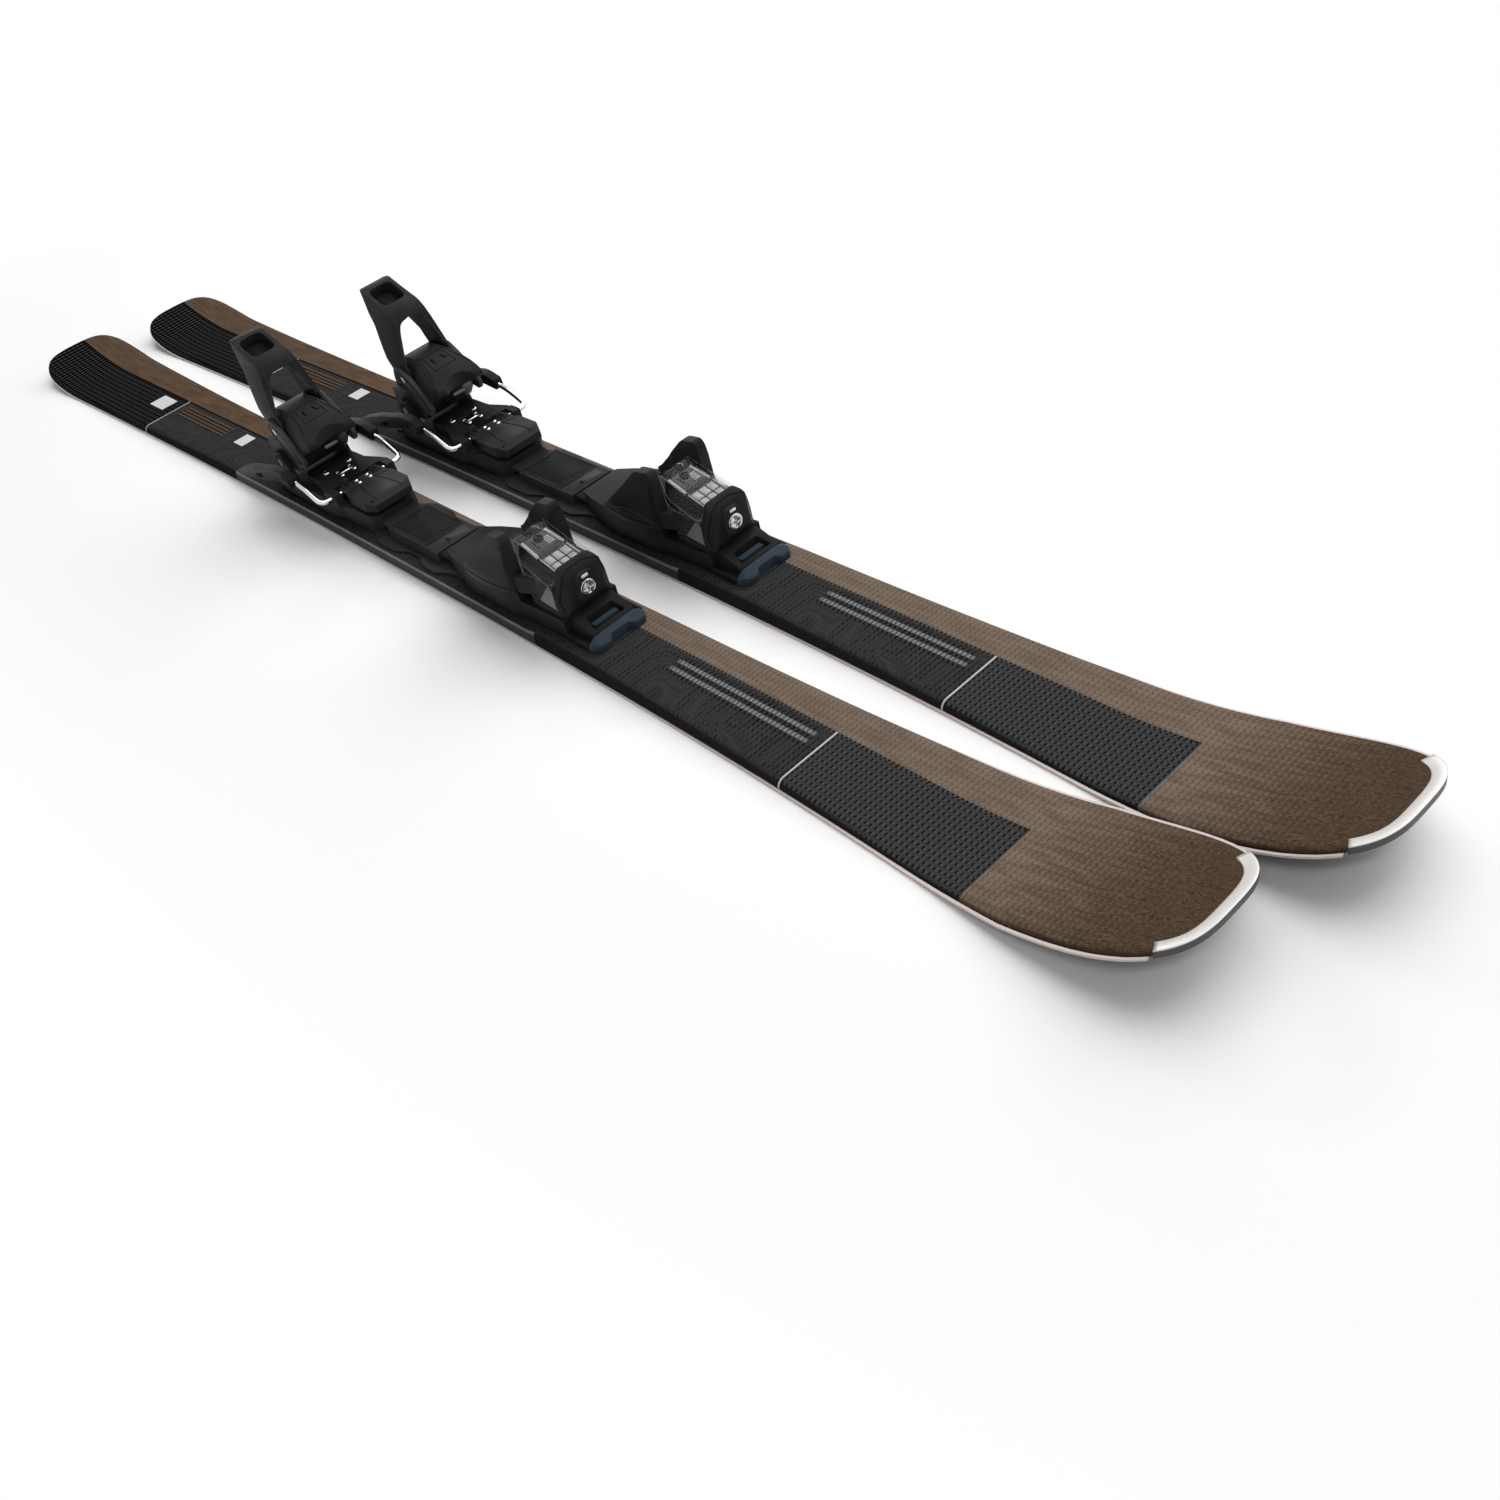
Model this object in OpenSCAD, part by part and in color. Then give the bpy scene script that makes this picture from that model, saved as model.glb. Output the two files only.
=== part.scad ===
// A pair of alpine skis with release bindings, lying side by side on the floor.
// Units are millimetres. +Y runs to the tips, +X to the right ski, +Z up.
// Each ski is drawn about its own centre, with its running surface at z = 0.
// Toe pieces are drawn about the front end of the boot sole, heel pieces about its rear end.

/* [Pair] */
// Gap between the two skis where they are widest
pair_gap = 3; // [2:1:60]
// How far the left ski lies ahead of the right one
pair_stagger = 44; // [30:1:80]

/* [Ski] */
// Length of a ski, tail to tip
ski_l = 1750; // [1700:10:1850]
// Width at the waist
waist_w = 84; // [80:1:86]
// Greatest width of the shovel
shovel_w = 127; // [122:1:132]
// Greatest width of the tail
tail_w = 111; // [106:1:116]
// Thickness under the binding
mid_t = 14; // [12.5:0.5:16]
// Thickness at the tip and the tail
end_t = 6; // [5:0.5:7]
// Height of the turned-up tip above the floor
tip_rise = 50; // [42:1:60]
// Height of the tail's end above the floor
tail_rise = 19; // [10:1:24]
// Length of the tip ahead of the widest place of the shovel
tip_l = 130; // [120:1:140]
// Length of the tail behind its widest place
tail_l = 85; // [75:1:95]
// Length of the front that turns up off the floor
front_lift_l = 225; // [215:1:235]
// Length of the tail that turns up off the floor
rear_lift_l = 125; // [115:1:135]
// Length of the flat stretch that carries the binding, each way from the middle
platform_half = 300; // [295:1:310]
// Width of the metal guard round the tip
guard_w = 9; // [6:0.5:12]
// Width of one sidewall
sidewall_w = 6; // [4:0.5:9]
// Width of one steel edge
edge_w = 2.2; // [1.8:0.1:3]
// Thickness of the running base and of the steel edges
base_t = 2; // [1.6:0.1:2.6]
// Thickness of the top sheet
sheet_t = 1; // [0.8:0.1:1.4]

/* [Binding] */
// Length of the boot sole that the binding is set to
boot_l = 315; // [305:1:330]
// Height of the boot sole above the ski
stand_h = 33; // [31:0.5:36]
// Width of the rail's head that the carriages ride on
rail_w = 40; // [36:1:42]
// Gap between a carriage and the rail
slide_gap = 0.3; // [0.2:0.05:0.5]
// Radial gap round a turning pin
pin_gap = 0.05; // [0.02:0.01:0.08]
// Gap between neighbouring moving faces
part_gap = 0.6; // [0.4:0.1:0.8]

/* [Toe] */
// Height of the wing horns above the boot sole
horn_h = 54; // [48:1:58]
// Radius of a wing's hinge pin
wing_pin_r = 3; // [2.5:0.1:3.5]
// Radius of the toe release screw's head
toe_screw_r = 7.5; // [6.5:0.1:8]
// Sideways travel of the anti-friction plate, each way
plate_travel = 6; // [4:0.5:6.5]

/* [Heel] */
// Height of the lever's top above the boot sole
lever_h = 129; // [122:1:134]
// Radius of the heel's pivot axle
axle_r = 4; // [3.5:0.1:4.5]
// Radius of the lever's pin
lever_pin_r = 3.5; // [3:0.1:4]
// Radius of the heel release screw's head
heel_screw_r = 7.5; // [6.5:0.1:8]
// Radius of the brake's spring wire
wire_r = 2.6; // [2.2:0.1:2.8]

/* [Hidden] */
$fn = 48;

pair_spacing = shovel_w + pair_gap;

// Plan of a ski: where it is widest and narrowest, and the bluntness of its ends
tip_y = ski_l / 2;
tail_y = -ski_l / 2;
shovel_y = tip_y - tip_l;
heel_wide_y = tail_y + tail_l;
waist_y = -30;
front_power = 3;
rear_power = 2;
tip_bluntness = 3.3;
tail_bluntness = 3.5;
side_steps = 22;
end_steps = 14;

// Side of a ski: where it leaves the floor, and where its guard and its edges end
front_contact_y = tip_y - front_lift_l;
rear_contact_y = tail_y + rear_lift_l;
guard_l = 24;
edge_tail_gap = 14;
guard_end_y = tip_y - guard_l;
edge_rear_y = tail_y + edge_tail_gap;
guard_proud = 0.6;
curl_steps = 12;

function half_width(y) =
    y > shovel_y ? shovel_w / 2 * pow(1 - pow((y - shovel_y) / (tip_y - shovel_y), tip_bluntness),
                                      1 / tip_bluntness) :
    y > waist_y ? waist_w / 2 + (shovel_w - waist_w) / 2
                  * pow((y - waist_y) / (shovel_y - waist_y), front_power) :
    y > heel_wide_y ? waist_w / 2 + (tail_w - waist_w) / 2
                      * pow((waist_y - y) / (waist_y - heel_wide_y), rear_power) :
    tail_w / 2 * pow(1 - pow((heel_wide_y - y) / (heel_wide_y - tail_y), tail_bluntness),
                     1 / tail_bluntness);
function base_z(y) =
    y > front_contact_y ? tip_rise * pow((y - front_contact_y) / (tip_y - front_contact_y), 2) :
    y < rear_contact_y ? tail_rise * pow((rear_contact_y - y) / (rear_contact_y - tail_y), 2) : 0;
function thickness(y) =
    let (past = max(0, abs(y) - platform_half),
         contact = y > 0 ? front_contact_y : -rear_contact_y,
         taper = min(1, past / (contact - platform_half)))
    mid_t - (mid_t - end_t) * taper;

// Lengthwise stations of the plan: even steps along the sides, eased ones round the ends
plan_y = concat(
    [for (i = [0 : end_steps]) heel_wide_y - (heel_wide_y - tail_y) * cos(90 * i / end_steps)],
    [for (i = [1 : side_steps]) heel_wide_y + (waist_y - heel_wide_y) * i / side_steps],
    [for (i = [1 : side_steps]) waist_y + (shovel_y - waist_y) * i / side_steps],
    [for (i = [1 : end_steps]) shovel_y + (tip_y - shovel_y) * sin(90 * i / end_steps)]);
// Lengthwise stations of the side view
side_y = concat(
    [for (i = [0 : curl_steps]) tail_y + (rear_contact_y - tail_y) * i / curl_steps],
    [-platform_half, platform_half],
    [for (i = [0 : curl_steps]) front_contact_y + (tip_y - front_contact_y) * i / curl_steps]);

// Levels and places that the binding is built from
ski_top = mid_t;
sole_z = ski_top + stand_h;
boot_mid_y = 8;
toe_y = boot_mid_y + boot_l / 2;
heel_y = boot_mid_y - boot_l / 2;
cut = 1;

// Rail: foot plate, web and head, and the raised panel between toe and heel
foot_t = 3;
foot_half = 27;
web_half = rail_w / 2 - 7;
head_half = rail_w / 2;
head_z0 = ski_top + foot_t + 5;
head_z1 = head_z0 + 4;
rail_y0 = heel_y - 118;
rail_ahead = 90;
rail_y1 = toe_y + rail_ahead;
panel_y0 = heel_y + 112;
panel_y1 = toe_y - 116;
panel_half = head_half + 4;
panel_top = head_z1 + 2;
ear_half = 36;
screw_r = 2.75;
screw_head_r = 4.6;
screw_head_t = 3.2;
screw_depth = mid_t - base_t - sheet_t - 2;
screw_x = 0;
screw_ys = [heel_y - 105, heel_y - 60, heel_y - 15, heel_y + 40,
            panel_y0 + 12, panel_y1 - 12, toe_y - 60, toe_y + 10, toe_y + 78];

// Carriages: the channel that wraps the rail's head
channel_half = head_half + slide_gap;
throat_half = web_half + slide_gap;
lip_z0 = ski_top + foot_t + slide_gap;
lip_z1 = head_z0 - slide_gap;
channel_z1 = head_z1 + slide_gap;

// Toe, from the boot's toe end and the sole plane
toe_front = 119;
ramp_rear = -101;
ramp_half = 34.5;
deck_z = -13;
ramp_z = -4;
plate_top = -2;
plate_t = 3.2;
plate_y0 = -40;
plate_y1 = 22;
plate_wall = 2.5;
plate_half = ramp_half - plate_wall - plate_travel;
wing_x = 17;
wing_y = 54;
hub_r = 9.6;
arm_z0 = -1;
arm_z1 = 15;
wing_pin_l = arm_z1 + 2 - deck_z;
cover_t = 2;
cover_seat_z = arm_z1 + 1.2;
slot_front = 71;
collar_rear = 83;
nose_front = 97;
boss_proud = 3;
housing_rear = 37;
base_half = 30;
channel_end = rail_ahead + 9;
front_z = deck_z - 8;
recess_z = deck_z - 10;
screw_z = 7;
spring_r = 6.4;
spring_wire_r = 1.1;
bore_r = spring_r + spring_wire_r + part_gap;
yoke_y0 = wing_y + hub_r + part_gap;
yoke_y1 = yoke_y0 + 3.6;
guide_r = 3.2;

// Heel, from the boot's heel end and the sole plane
axle_y = -64;
axle_z = 9;
lever_y = -43;
lever_z = 45;
jaw_half = 28;
core_half = 21.4;
leg_in = core_half + 0.4;
leg_out = jaw_half - 0.4;
upright_in = jaw_half + part_gap;
upright_out = 34;
cheek_t = 4.4;
heel_bore_z = 28;
heel_bore_r = 8.4;
heel_spring_r = 6.6;
brake_y = 37;
brake_z = -3;
hub_half = 24;
lug_in = 28;
lug_out = 36;
wire_bend_r = 6;
wire_rise = 17;
arm_l = 56;
tip_half = 4.8;
tip_mouth = 44;
tip_reach = 174;
brake_clear = 1;
tip_in = ceil(10 * (half_width(heel_y + brake_y - tip_reach) + brake_clear)) / 10;
wire_half = tip_in + wire_r + brake_clear;
pad_front = 97;
pad_low = -8.5;
pad_half = lug_in - 1;
pad_seat_z = pad_low - part_gap;
pocket_half = 13.4;
pocket_front = 12.5;
pocket_rear = -16;
pocket_depth = 11;
pocket_round = 7;
lever_tilt = 22;
lever_back = -101;
heel_spring_l = 49;
heel_spring_y = -75;
heel_wire_r = 1.2;

// Points of a half outline, closed by their mirror image
function mirrored(pts) = concat(pts, [for (i = [len(pts) - 1 : -1 : 0])
    concat([-pts[i][0], pts[i][1]], len(pts[i]) > 2 ? [pts[i][2]] : [])]);

// Outline whose points [x, y, reach] have a round corner that starts that far from the point,
// or just short of the middle of a shorter side
corner_steps = 5;
corner_share = 0.48;
function towards(from, to) = (to - from) / norm(to - from);
function corner(before, at, after, reach) =
    let (r = min(reach, corner_share * norm(before - at), corner_share * norm(after - at)))
    [for (i = [0 : corner_steps])
     let (t = i / corner_steps)
     at + r * pow(1 - t, 2) * towards(at, before) + r * pow(t, 2) * towards(at, after)];
function flat(pt) = [pt[0], pt[1]];
function rounded(pts) = [for (i = [0 : len(pts) - 1])
    let (n = len(pts))
    for (p = len(pts[i]) < 3 ? [flat(pts[i])]
             : corner(flat(pts[(i + n - 1) % n]), flat(pts[i]), flat(pts[(i + 1) % n]), pts[i][2])) p];

// Solid with the given side view, from -half to +half across
module side_prism(half, pts) {
    rotate([90, 0, 90])
        linear_extrude(2 * half, center = true)
            polygon(rounded(pts));
}

// Solid with the given plan view, from z0 to z1
module plan_prism(z0, z1, pts) {
    translate([0, 0, z0])
        linear_extrude(z1 - z0)
            polygon(rounded(pts));
}

// Solid with the given front view, from y0 to y1
module front_prism(y0, y1, pts) {
    translate([0, y1, 0])
        rotate([90, 0, 0])
            linear_extrude(y1 - y0)
                polygon(rounded(pts));
}

// Convex solid that spans points of its right half and their mirror images
module mirrored_hull(pts) {
    corners = concat(pts, [for (p = pts) [-p[0], p[1], p[2]]]);
    hull()
        polyhedron(corners, [[for (i = [0 : len(corners) - 1]) i]]);
}

// Cylinder along X, centred
module cross_rod(r, half, y, z) {
    translate([0, y, z])
        rotate([0, 90, 0])
            cylinder(r = r, h = 2 * half, center = true);
}

// Cylinder along Y, from y0 to y1
module long_rod(r, y0, y1, z) {
    translate([0, y0, z])
        rotate([-90, 0, 0])
            cylinder(r = r, h = y1 - y0);
}

// Box from its two corners
module block(low, high) {
    translate(low)
        cube(high - low);
}

module on_both_sides() {
    children();
    mirror([1, 0, 0])
        children();
}

module on_right() {
    translate([pair_spacing / 2, -pair_stagger / 2, 0])
        children();
}

module on_left() {
    translate([-pair_spacing / 2, pair_stagger / 2, 0])
        children();
}

module at_toe() {
    translate([0, toe_y, sole_z])
        children();
}

module at_heel() {
    translate([0, heel_y, sole_z])
        children();
}

// Layer of a ski that follows its side view: from one height above the base to another,
// where "from_top" measures the heights down from the top surface
module ski_layer(low, high, low_from_top = false, high_from_top = true) {
    bottom = [for (y = side_y) [y, base_z(y) + low + (low_from_top ? thickness(y) : 0)]];
    top = [for (y = side_y) [y, base_z(y) + high + (high_from_top ? thickness(y) : 0)]];
    side_prism(shovel_w, concat(bottom, [for (i = [len(top) - 1 : -1 : 0]) top[i]]));
}

// Plan of a ski drawn in by a margin at its sides
module plan_area(margin) {
    polygon(mirrored([for (y = plan_y) [max(0, half_width(y) - margin), y]]));
}

// All that lies behind the tip guard or inside its band
module inside_guard() {
    reach = tip_y - guard_end_y;
    shrink = 1 - guard_w / half_width(guard_end_y);
    steps = [for (i = [0 : end_steps]) sin(90 * i / end_steps)];
    polygon(mirrored(concat(
        [[shovel_w, tail_y - cut], [shovel_w, guard_end_y]],
        [for (s = steps) [shrink * half_width(guard_end_y + reach * s),
                          guard_end_y + (reach - guard_w) * s]])));
}

module rail_screw_holes(r) {
    for (y = screw_ys)
        translate([screw_x, y, ski_top - screw_depth - sheet_t])
            cylinder(r = r, h = screw_depth + sheet_t + stand_h);
}

module running_base_shape() {
    color("#26282b")
        intersection() {
            ski_layer(0, base_t, false, false);
            linear_extrude(2 * tip_rise)
                difference() {
                    intersection() {
                        plan_area(0);
                        inside_guard();
                    }
                    edge_area();
                }
        }
}

// Strips along both sides that the steel edges fill
module edge_area() {
    span = [for (y = plan_y) if (y > edge_rear_y && y < guard_end_y) y];
    stations = concat([edge_rear_y], span, [guard_end_y]);
    outer = [for (y = stations) [half_width(y), y]];
    inner = [for (i = [len(stations) - 1 : -1 : 0]) [half_width(stations[i]) - edge_w, stations[i]]];
    on_both_sides()
        polygon(concat(outer, inner));
}

module steel_edges_shape() {
    color("#b9b4b0")
        intersection() {
            ski_layer(0, base_t, false, false);
            linear_extrude(2 * tip_rise)
                edge_area();
        }
}

module wood_core_shape() {
    color("#c8a46c")
        difference() {
            intersection() {
                ski_layer(base_t, -sheet_t, false, true);
                linear_extrude(2 * tip_rise)
                    intersection() {
                        plan_area(sidewall_w);
                        inside_guard();
                    }
            }
            rail_screw_holes(screw_r + pin_gap);
        }
}

module sidewalls_shape() {
    color("#222426")
        intersection() {
            ski_layer(base_t, -sheet_t, false, true);
            linear_extrude(2 * tip_rise)
                difference() {
                    intersection() {
                        plan_area(0);
                        inside_guard();
                    }
                    plan_area(sidewall_w);
                }
        }
}

module top_sheet_shape() {
    color("#4a4038")
        difference() {
            intersection() {
                ski_layer(-sheet_t, 0, true, true);
                linear_extrude(2 * tip_rise)
                    intersection() {
                        plan_area(0);
                        inside_guard();
                    }
            }
            rail_screw_holes(screw_r + pin_gap);
        }
}

module tip_guard_shape() {
    color("#a7a9ab")
        intersection() {
            ski_layer(0, guard_proud, false, true);
            linear_extrude(2 * tip_rise)
                difference() {
                    plan_area(0);
                    inside_guard();
                }
        }
}

module rail_shape() {
    ears = [[foot_half, panel_y0 - 26], [ear_half, panel_y0 - 8], [ear_half, panel_y0 + 22],
            [foot_half + 2, panel_y0 + 40], [foot_half + 2, panel_y1 - 30],
            [ear_half, panel_y1 - 14], [ear_half, panel_y1 + 6], [foot_half, panel_y1 + 26]];
    color("#3a3c3f")
        difference() {
            union() {
                block([-foot_half, rail_y0, ski_top], [foot_half, rail_y1, ski_top + foot_t]);
                block([-web_half, rail_y0, ski_top], [web_half, rail_y1, head_z0 + cut]);
                block([-head_half, rail_y0, head_z0], [head_half, rail_y1, head_z1]);
                block([-panel_half, panel_y0, ski_top], [panel_half, panel_y1, panel_top]);
                plan_prism(ski_top, ski_top + foot_t, mirrored(ears));
            }
            rail_screw_holes(screw_r + pin_gap);
            for (y = screw_ys)
                translate([screw_x, y, head_z1 - screw_head_t])
                    cylinder(r = screw_head_r + pin_gap, h = stand_h);
        }
}

module rail_screws_shape() {
    color("#8d9092")
        for (y = screw_ys)
            difference() {
                union() {
                    translate([screw_x, y, ski_top - screw_depth - sheet_t])
                        cylinder(r = screw_r, h = head_z1 - ski_top + screw_depth + sheet_t - 0.4);
                    translate([screw_x, y, head_z1 - screw_head_t])
                        cylinder(r = screw_head_r, h = screw_head_t - 0.4);
                }
                translate([screw_x, y, head_z1 - 1.8])
                    for (turn = [0, 90])
                        rotate(turn)
                            cube([5, 1.2, 4], center = true);
            }
}

// Channel along a carriage, with its throat open at the bottom
module rail_channel(y0, y1) {
    block([-channel_half, y0, lip_z1], [channel_half, y1, channel_z1]);
    block([-throat_half, y0, ski_top], [throat_half, y1, lip_z1 + cut]);
}

module toe_carriage_shape() {
    low = lip_z0 - sole_z;
    plan = [[20.5, ramp_rear, 3], [28, ramp_rear + 24], [ramp_half, ramp_rear + 56, 10],
            [ramp_half, 14, 8], [31, 30, 8], [29, 84], [base_half, toe_front - 20, 6],
            [base_half, toe_front]];
    side = [[ramp_rear + 10, low], [ramp_rear, low + 6], [ramp_rear, -11, 2], [plate_y0 - 8, ramp_z + 1, 6],
            [plate_y1 + 8, ramp_z + 1], [housing_rear - 6, deck_z], [nose_front, deck_z, 4],
            [toe_front, front_z, 2], [toe_front, low]];
    groove_in = channel_half + 2.2;
    groove_out = base_half - 2.4;
    groove_rear = collar_rear + 6;
    groove_z = deck_z - 14.5;
    rim_z = deck_z - 13;
    color("#2f3134")
        difference() {
            translate([0, toe_y, 0])
                intersection() {
                    translate([0, 0, sole_z])
                        side_prism(ramp_half, side);
                    plan_prism(0, 2 * sole_z, mirrored(plan));
                }
            rail_channel(toe_y + ramp_rear - cut, toe_y + channel_end);
            at_toe() {
                block([-ramp_half - cut, plate_y0 - part_gap, plate_top - plate_t - slide_gap],
                      [ramp_half + cut, plate_y1 + part_gap, cut]);
                plan_prism(recess_z, deck_z + cut,
                           mirrored([[14, channel_end + 2, 2], [17, toe_front - 4, 2]]));
                on_both_sides() {
                    block([groove_in, groove_rear, groove_z], [groove_out, toe_front + cut, cut]);
                    block([groove_out - cut, groove_rear, rim_z], [base_half + cut, toe_front + cut, cut]);
                }
            }
        }
}

module toe_trim_shape() {
    low = part_gap - stand_h;
    plan = [[base_half, toe_front - 6], [base_half, toe_front + 2, 3], [24, toe_front + 10.5, 3],
            [14, toe_front + 10.5, 2], [10, toe_front + 6.5, 3], [0, toe_front + 6.5]];
    side = [[toe_front, low], [toe_front, front_z - 0.5], [toe_front + 3, front_z - 1, 2],
            [toe_front + 11, front_z - 6, 3], [toe_front + 11, low]];
    front = [[base_half, low], [base_half, front_z - 6.5, 2], [23, front_z - 1, 3], [12, front_z - 0.5]];
    color("#3f5163")
        at_toe() {
            intersection() {
                side_prism(base_half, side);
                plan_prism(low, 0, mirrored(plan));
                front_prism(0, 2 * toe_front, mirrored(front));
            }
            block([-13, channel_end + 5, recess_z], [13, channel_end + 11, recess_z + 3]);
        }
}

module toe_housing_shape() {
    body_half = 27;
    body = [[body_half, deck_z - cut], [body_half, 4, 4], [26, cover_seat_z], [21, cover_seat_z],
            [18, 22], [13, 37]];
    waist = [[18, 20], [18, 33], [body_half, 47], [body_half, nose_front]];
    roof = [[30, arm_z1 + part_gap], [30, 35, 2], [collar_rear, 21.5], [collar_rear + cut, deck_z],
            [housing_rear, deck_z], [housing_rear, arm_z1 + part_gap]];
    collar_front = [[body_half, deck_z], [body_half + 0.6, 5, 9], [17.5, 30.5, 6]];
    collar_side = [[collar_rear, deck_z], [collar_rear, 31], [collar_rear + 3, 30, 3],
                   [nose_front - 5, 24, 5], [nose_front - boss_proud, 10, 8],
                   [nose_front - boss_proud - 1, -6, 4],
                   [nose_front - 8, deck_z]];
    collar_plan = [[body_half + 1, collar_rear], [body_half - 0.5, collar_rear + 3, 3], [15, nose_front, 5]];
    boss = [[9, -3, 6], [12.4, 7, 6], [8, 21.5, 6]];
    slot = [[40, 0], [40, wing_y + 4], [body_half, wing_y + 4], [24.2, wing_y + 7.5], [24.2, slot_front]];
    color("#2a2c2e")
        at_toe()
            difference() {
                union() {
                    intersection() {
                        side_prism(body_half, roof);
                        front_prism(0, collar_rear + cut, mirrored(body));
                        plan_prism(deck_z, 40, mirrored(waist));
                    }
                    intersection() {
                        side_prism(body_half + 1, collar_side);
                        front_prism(collar_rear, nose_front, mirrored(collar_front));
                        plan_prism(deck_z, 40, mirrored(collar_plan));
                    }
                    front_prism(collar_rear, nose_front, mirrored(boss));
                }
                plan_prism(arm_z0 - part_gap, arm_z1 + part_gap, mirrored(slot));
                long_rod(bore_r, slot_front - cut, nose_front - 9, screw_z);
                long_rod(toe_screw_r + pin_gap, nose_front - 9, nose_front + 5, screw_z);
                on_both_sides()
                    translate([wing_x, wing_y, deck_z])
                        cylinder(r = wing_pin_r, h = wing_pin_l);
            }
}

// Corners of the clear cover's right half, drawn in by a margin
function cover_corners(m) = let (open = m > 0 ? 4 : 0) [
    [17 - m, 27.5 - open, 42 - m + open / 4], [15.8 - m, collar_rear + open, 28.6 - m - open / 4],
    [19 - m, 29 - open, 29], [25.6 - m, 46 - open, 27], [19 - m, 29 - open, 22 - open],
    [26.2 - m, 47 - open, cover_seat_z - open], [26.2 - m, collar_rear + open, cover_seat_z - open]];

module toe_cover_shape() {
    color("#9aa3a8", 0.4)
        at_toe()
            difference() {
                mirrored_hull(cover_corners(0));
                mirrored_hull(cover_corners(cover_t));
            }
}

// Wing on the +X side
module wing_solid() {
    jaw_side = [[35, arm_z0 - 0.5], [36, 30], [36, horn_h - 5, 3], [33, horn_h, 3], [15, horn_h - 3, 4],
                [-15, 24, 10], [-32, 10, 6], [-46, 1, 2], [-46, arm_z0 - 0.5]];
    jaw_plan = [[22.6, 36], [34, 36, 3], [38.5, 22, 10], [41.5, -5, 12], [39.5, -33, 8], [35, -46, 4],
                [31, -46, 2],
                [27.5, -30, 8], [25, -13, 8], [22.6, -4]];
    jaw_front = [[22.6, -5], [42, -5], [42, 7, 6], [35.5, 27, 12], [31.5, horn_h + cut],
                 [22.6, horn_h + cut]];
    arm_plan = [[wing_x - 9, wing_y], [wing_x + 9, wing_y], [33, 33], [33, 6], [25, -8], [13, 0], [8, 9]];
    difference() {
        union() {
            intersection() {
                side_prism(60, jaw_side);
                plan_prism(-20, 100, jaw_plan);
                front_prism(-60, 60, jaw_front);
            }
            plan_prism(arm_z0, arm_z1, arm_plan);
            translate([wing_x, wing_y, arm_z0])
                cylinder(r = hub_r, h = arm_z1 - arm_z0);
        }
        translate([wing_x, wing_y, arm_z0 - cut])
            cylinder(r = wing_pin_r + pin_gap, h = arm_z1 - arm_z0 + 2 * cut);
    }
}

module toe_outer_wing_shape() {
    color("#313337")
        at_toe()
            wing_solid();
}

module toe_inner_wing_shape() {
    color("#313337")
        at_toe()
            mirror([1, 0, 0])
                wing_solid();
}

module wing_pins_shape() {
    color("#a9abad")
        at_toe()
            on_both_sides()
                translate([wing_x, wing_y, deck_z])
                    cylinder(r = wing_pin_r, h = wing_pin_l);
}

// Coil spring along +Y as one tube of round-cornered rings joined in a helix
module coil(r, wire, length, turns, y0, z0) {
    steps = 12;
    sides = 6;
    rings = turns * steps;
    pts = [for (i = [0 : rings])
           let (a = 360 * i / steps, y = y0 + wire + (length - 2 * wire) * i / rings)
           for (k = [0 : sides - 1])
           let (b = 360 * k / sides, out = r + wire * cos(b))
           [out * cos(a), y + wire * sin(b), z0 + out * sin(a)]];
    walls = [for (i = [0 : rings - 1]) for (k = [0 : sides - 1])
             let (n = (k + 1) % sides)
             for (f = [[i * sides + k, i * sides + n, (i + 1) * sides + n],
                       [i * sides + k, (i + 1) * sides + n, (i + 1) * sides + k]]) f];
    first = [for (k = [1 : sides - 2]) [0, k + 1, k]];
    last = [for (k = [1 : sides - 2]) [rings * sides, rings * sides + k, rings * sides + k + 1]];
    polyhedron(pts, concat(walls, first, last));
}

module toe_spring_shape() {
    color("#8f9294")
        at_toe()
            coil(spring_r, spring_wire_r, nose_front - 10 - yoke_y1, 4, yoke_y1, screw_z);
}

module toe_plunger_shape() {
    color("#6d7073")
        at_toe() {
            block([-wing_x - 6, yoke_y0, arm_z0 + 1], [wing_x + 6, yoke_y1, arm_z1 - 1]);
            long_rod(guide_r, yoke_y1 - cut, nose_front - 16, screw_z);
        }
}

module toe_screw_shape() {
    color("#c9cbcd")
        at_toe()
            difference() {
                long_rod(toe_screw_r, nose_front - 8.4, nose_front + 0.6, screw_z);
                translate([0, nose_front + 0.6, screw_z])
                    for (turn = [0, 90])
                        rotate([0, turn, 0])
                            cube([toe_screw_r * 1.4, 5, 1.8], center = true);
            }
}

module slide_plate_shape() {
    color("#45484b")
        at_toe()
            block([-plate_half, plate_y0, plate_top - plate_t], [plate_half, plate_y1, plate_top]);
}

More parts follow.
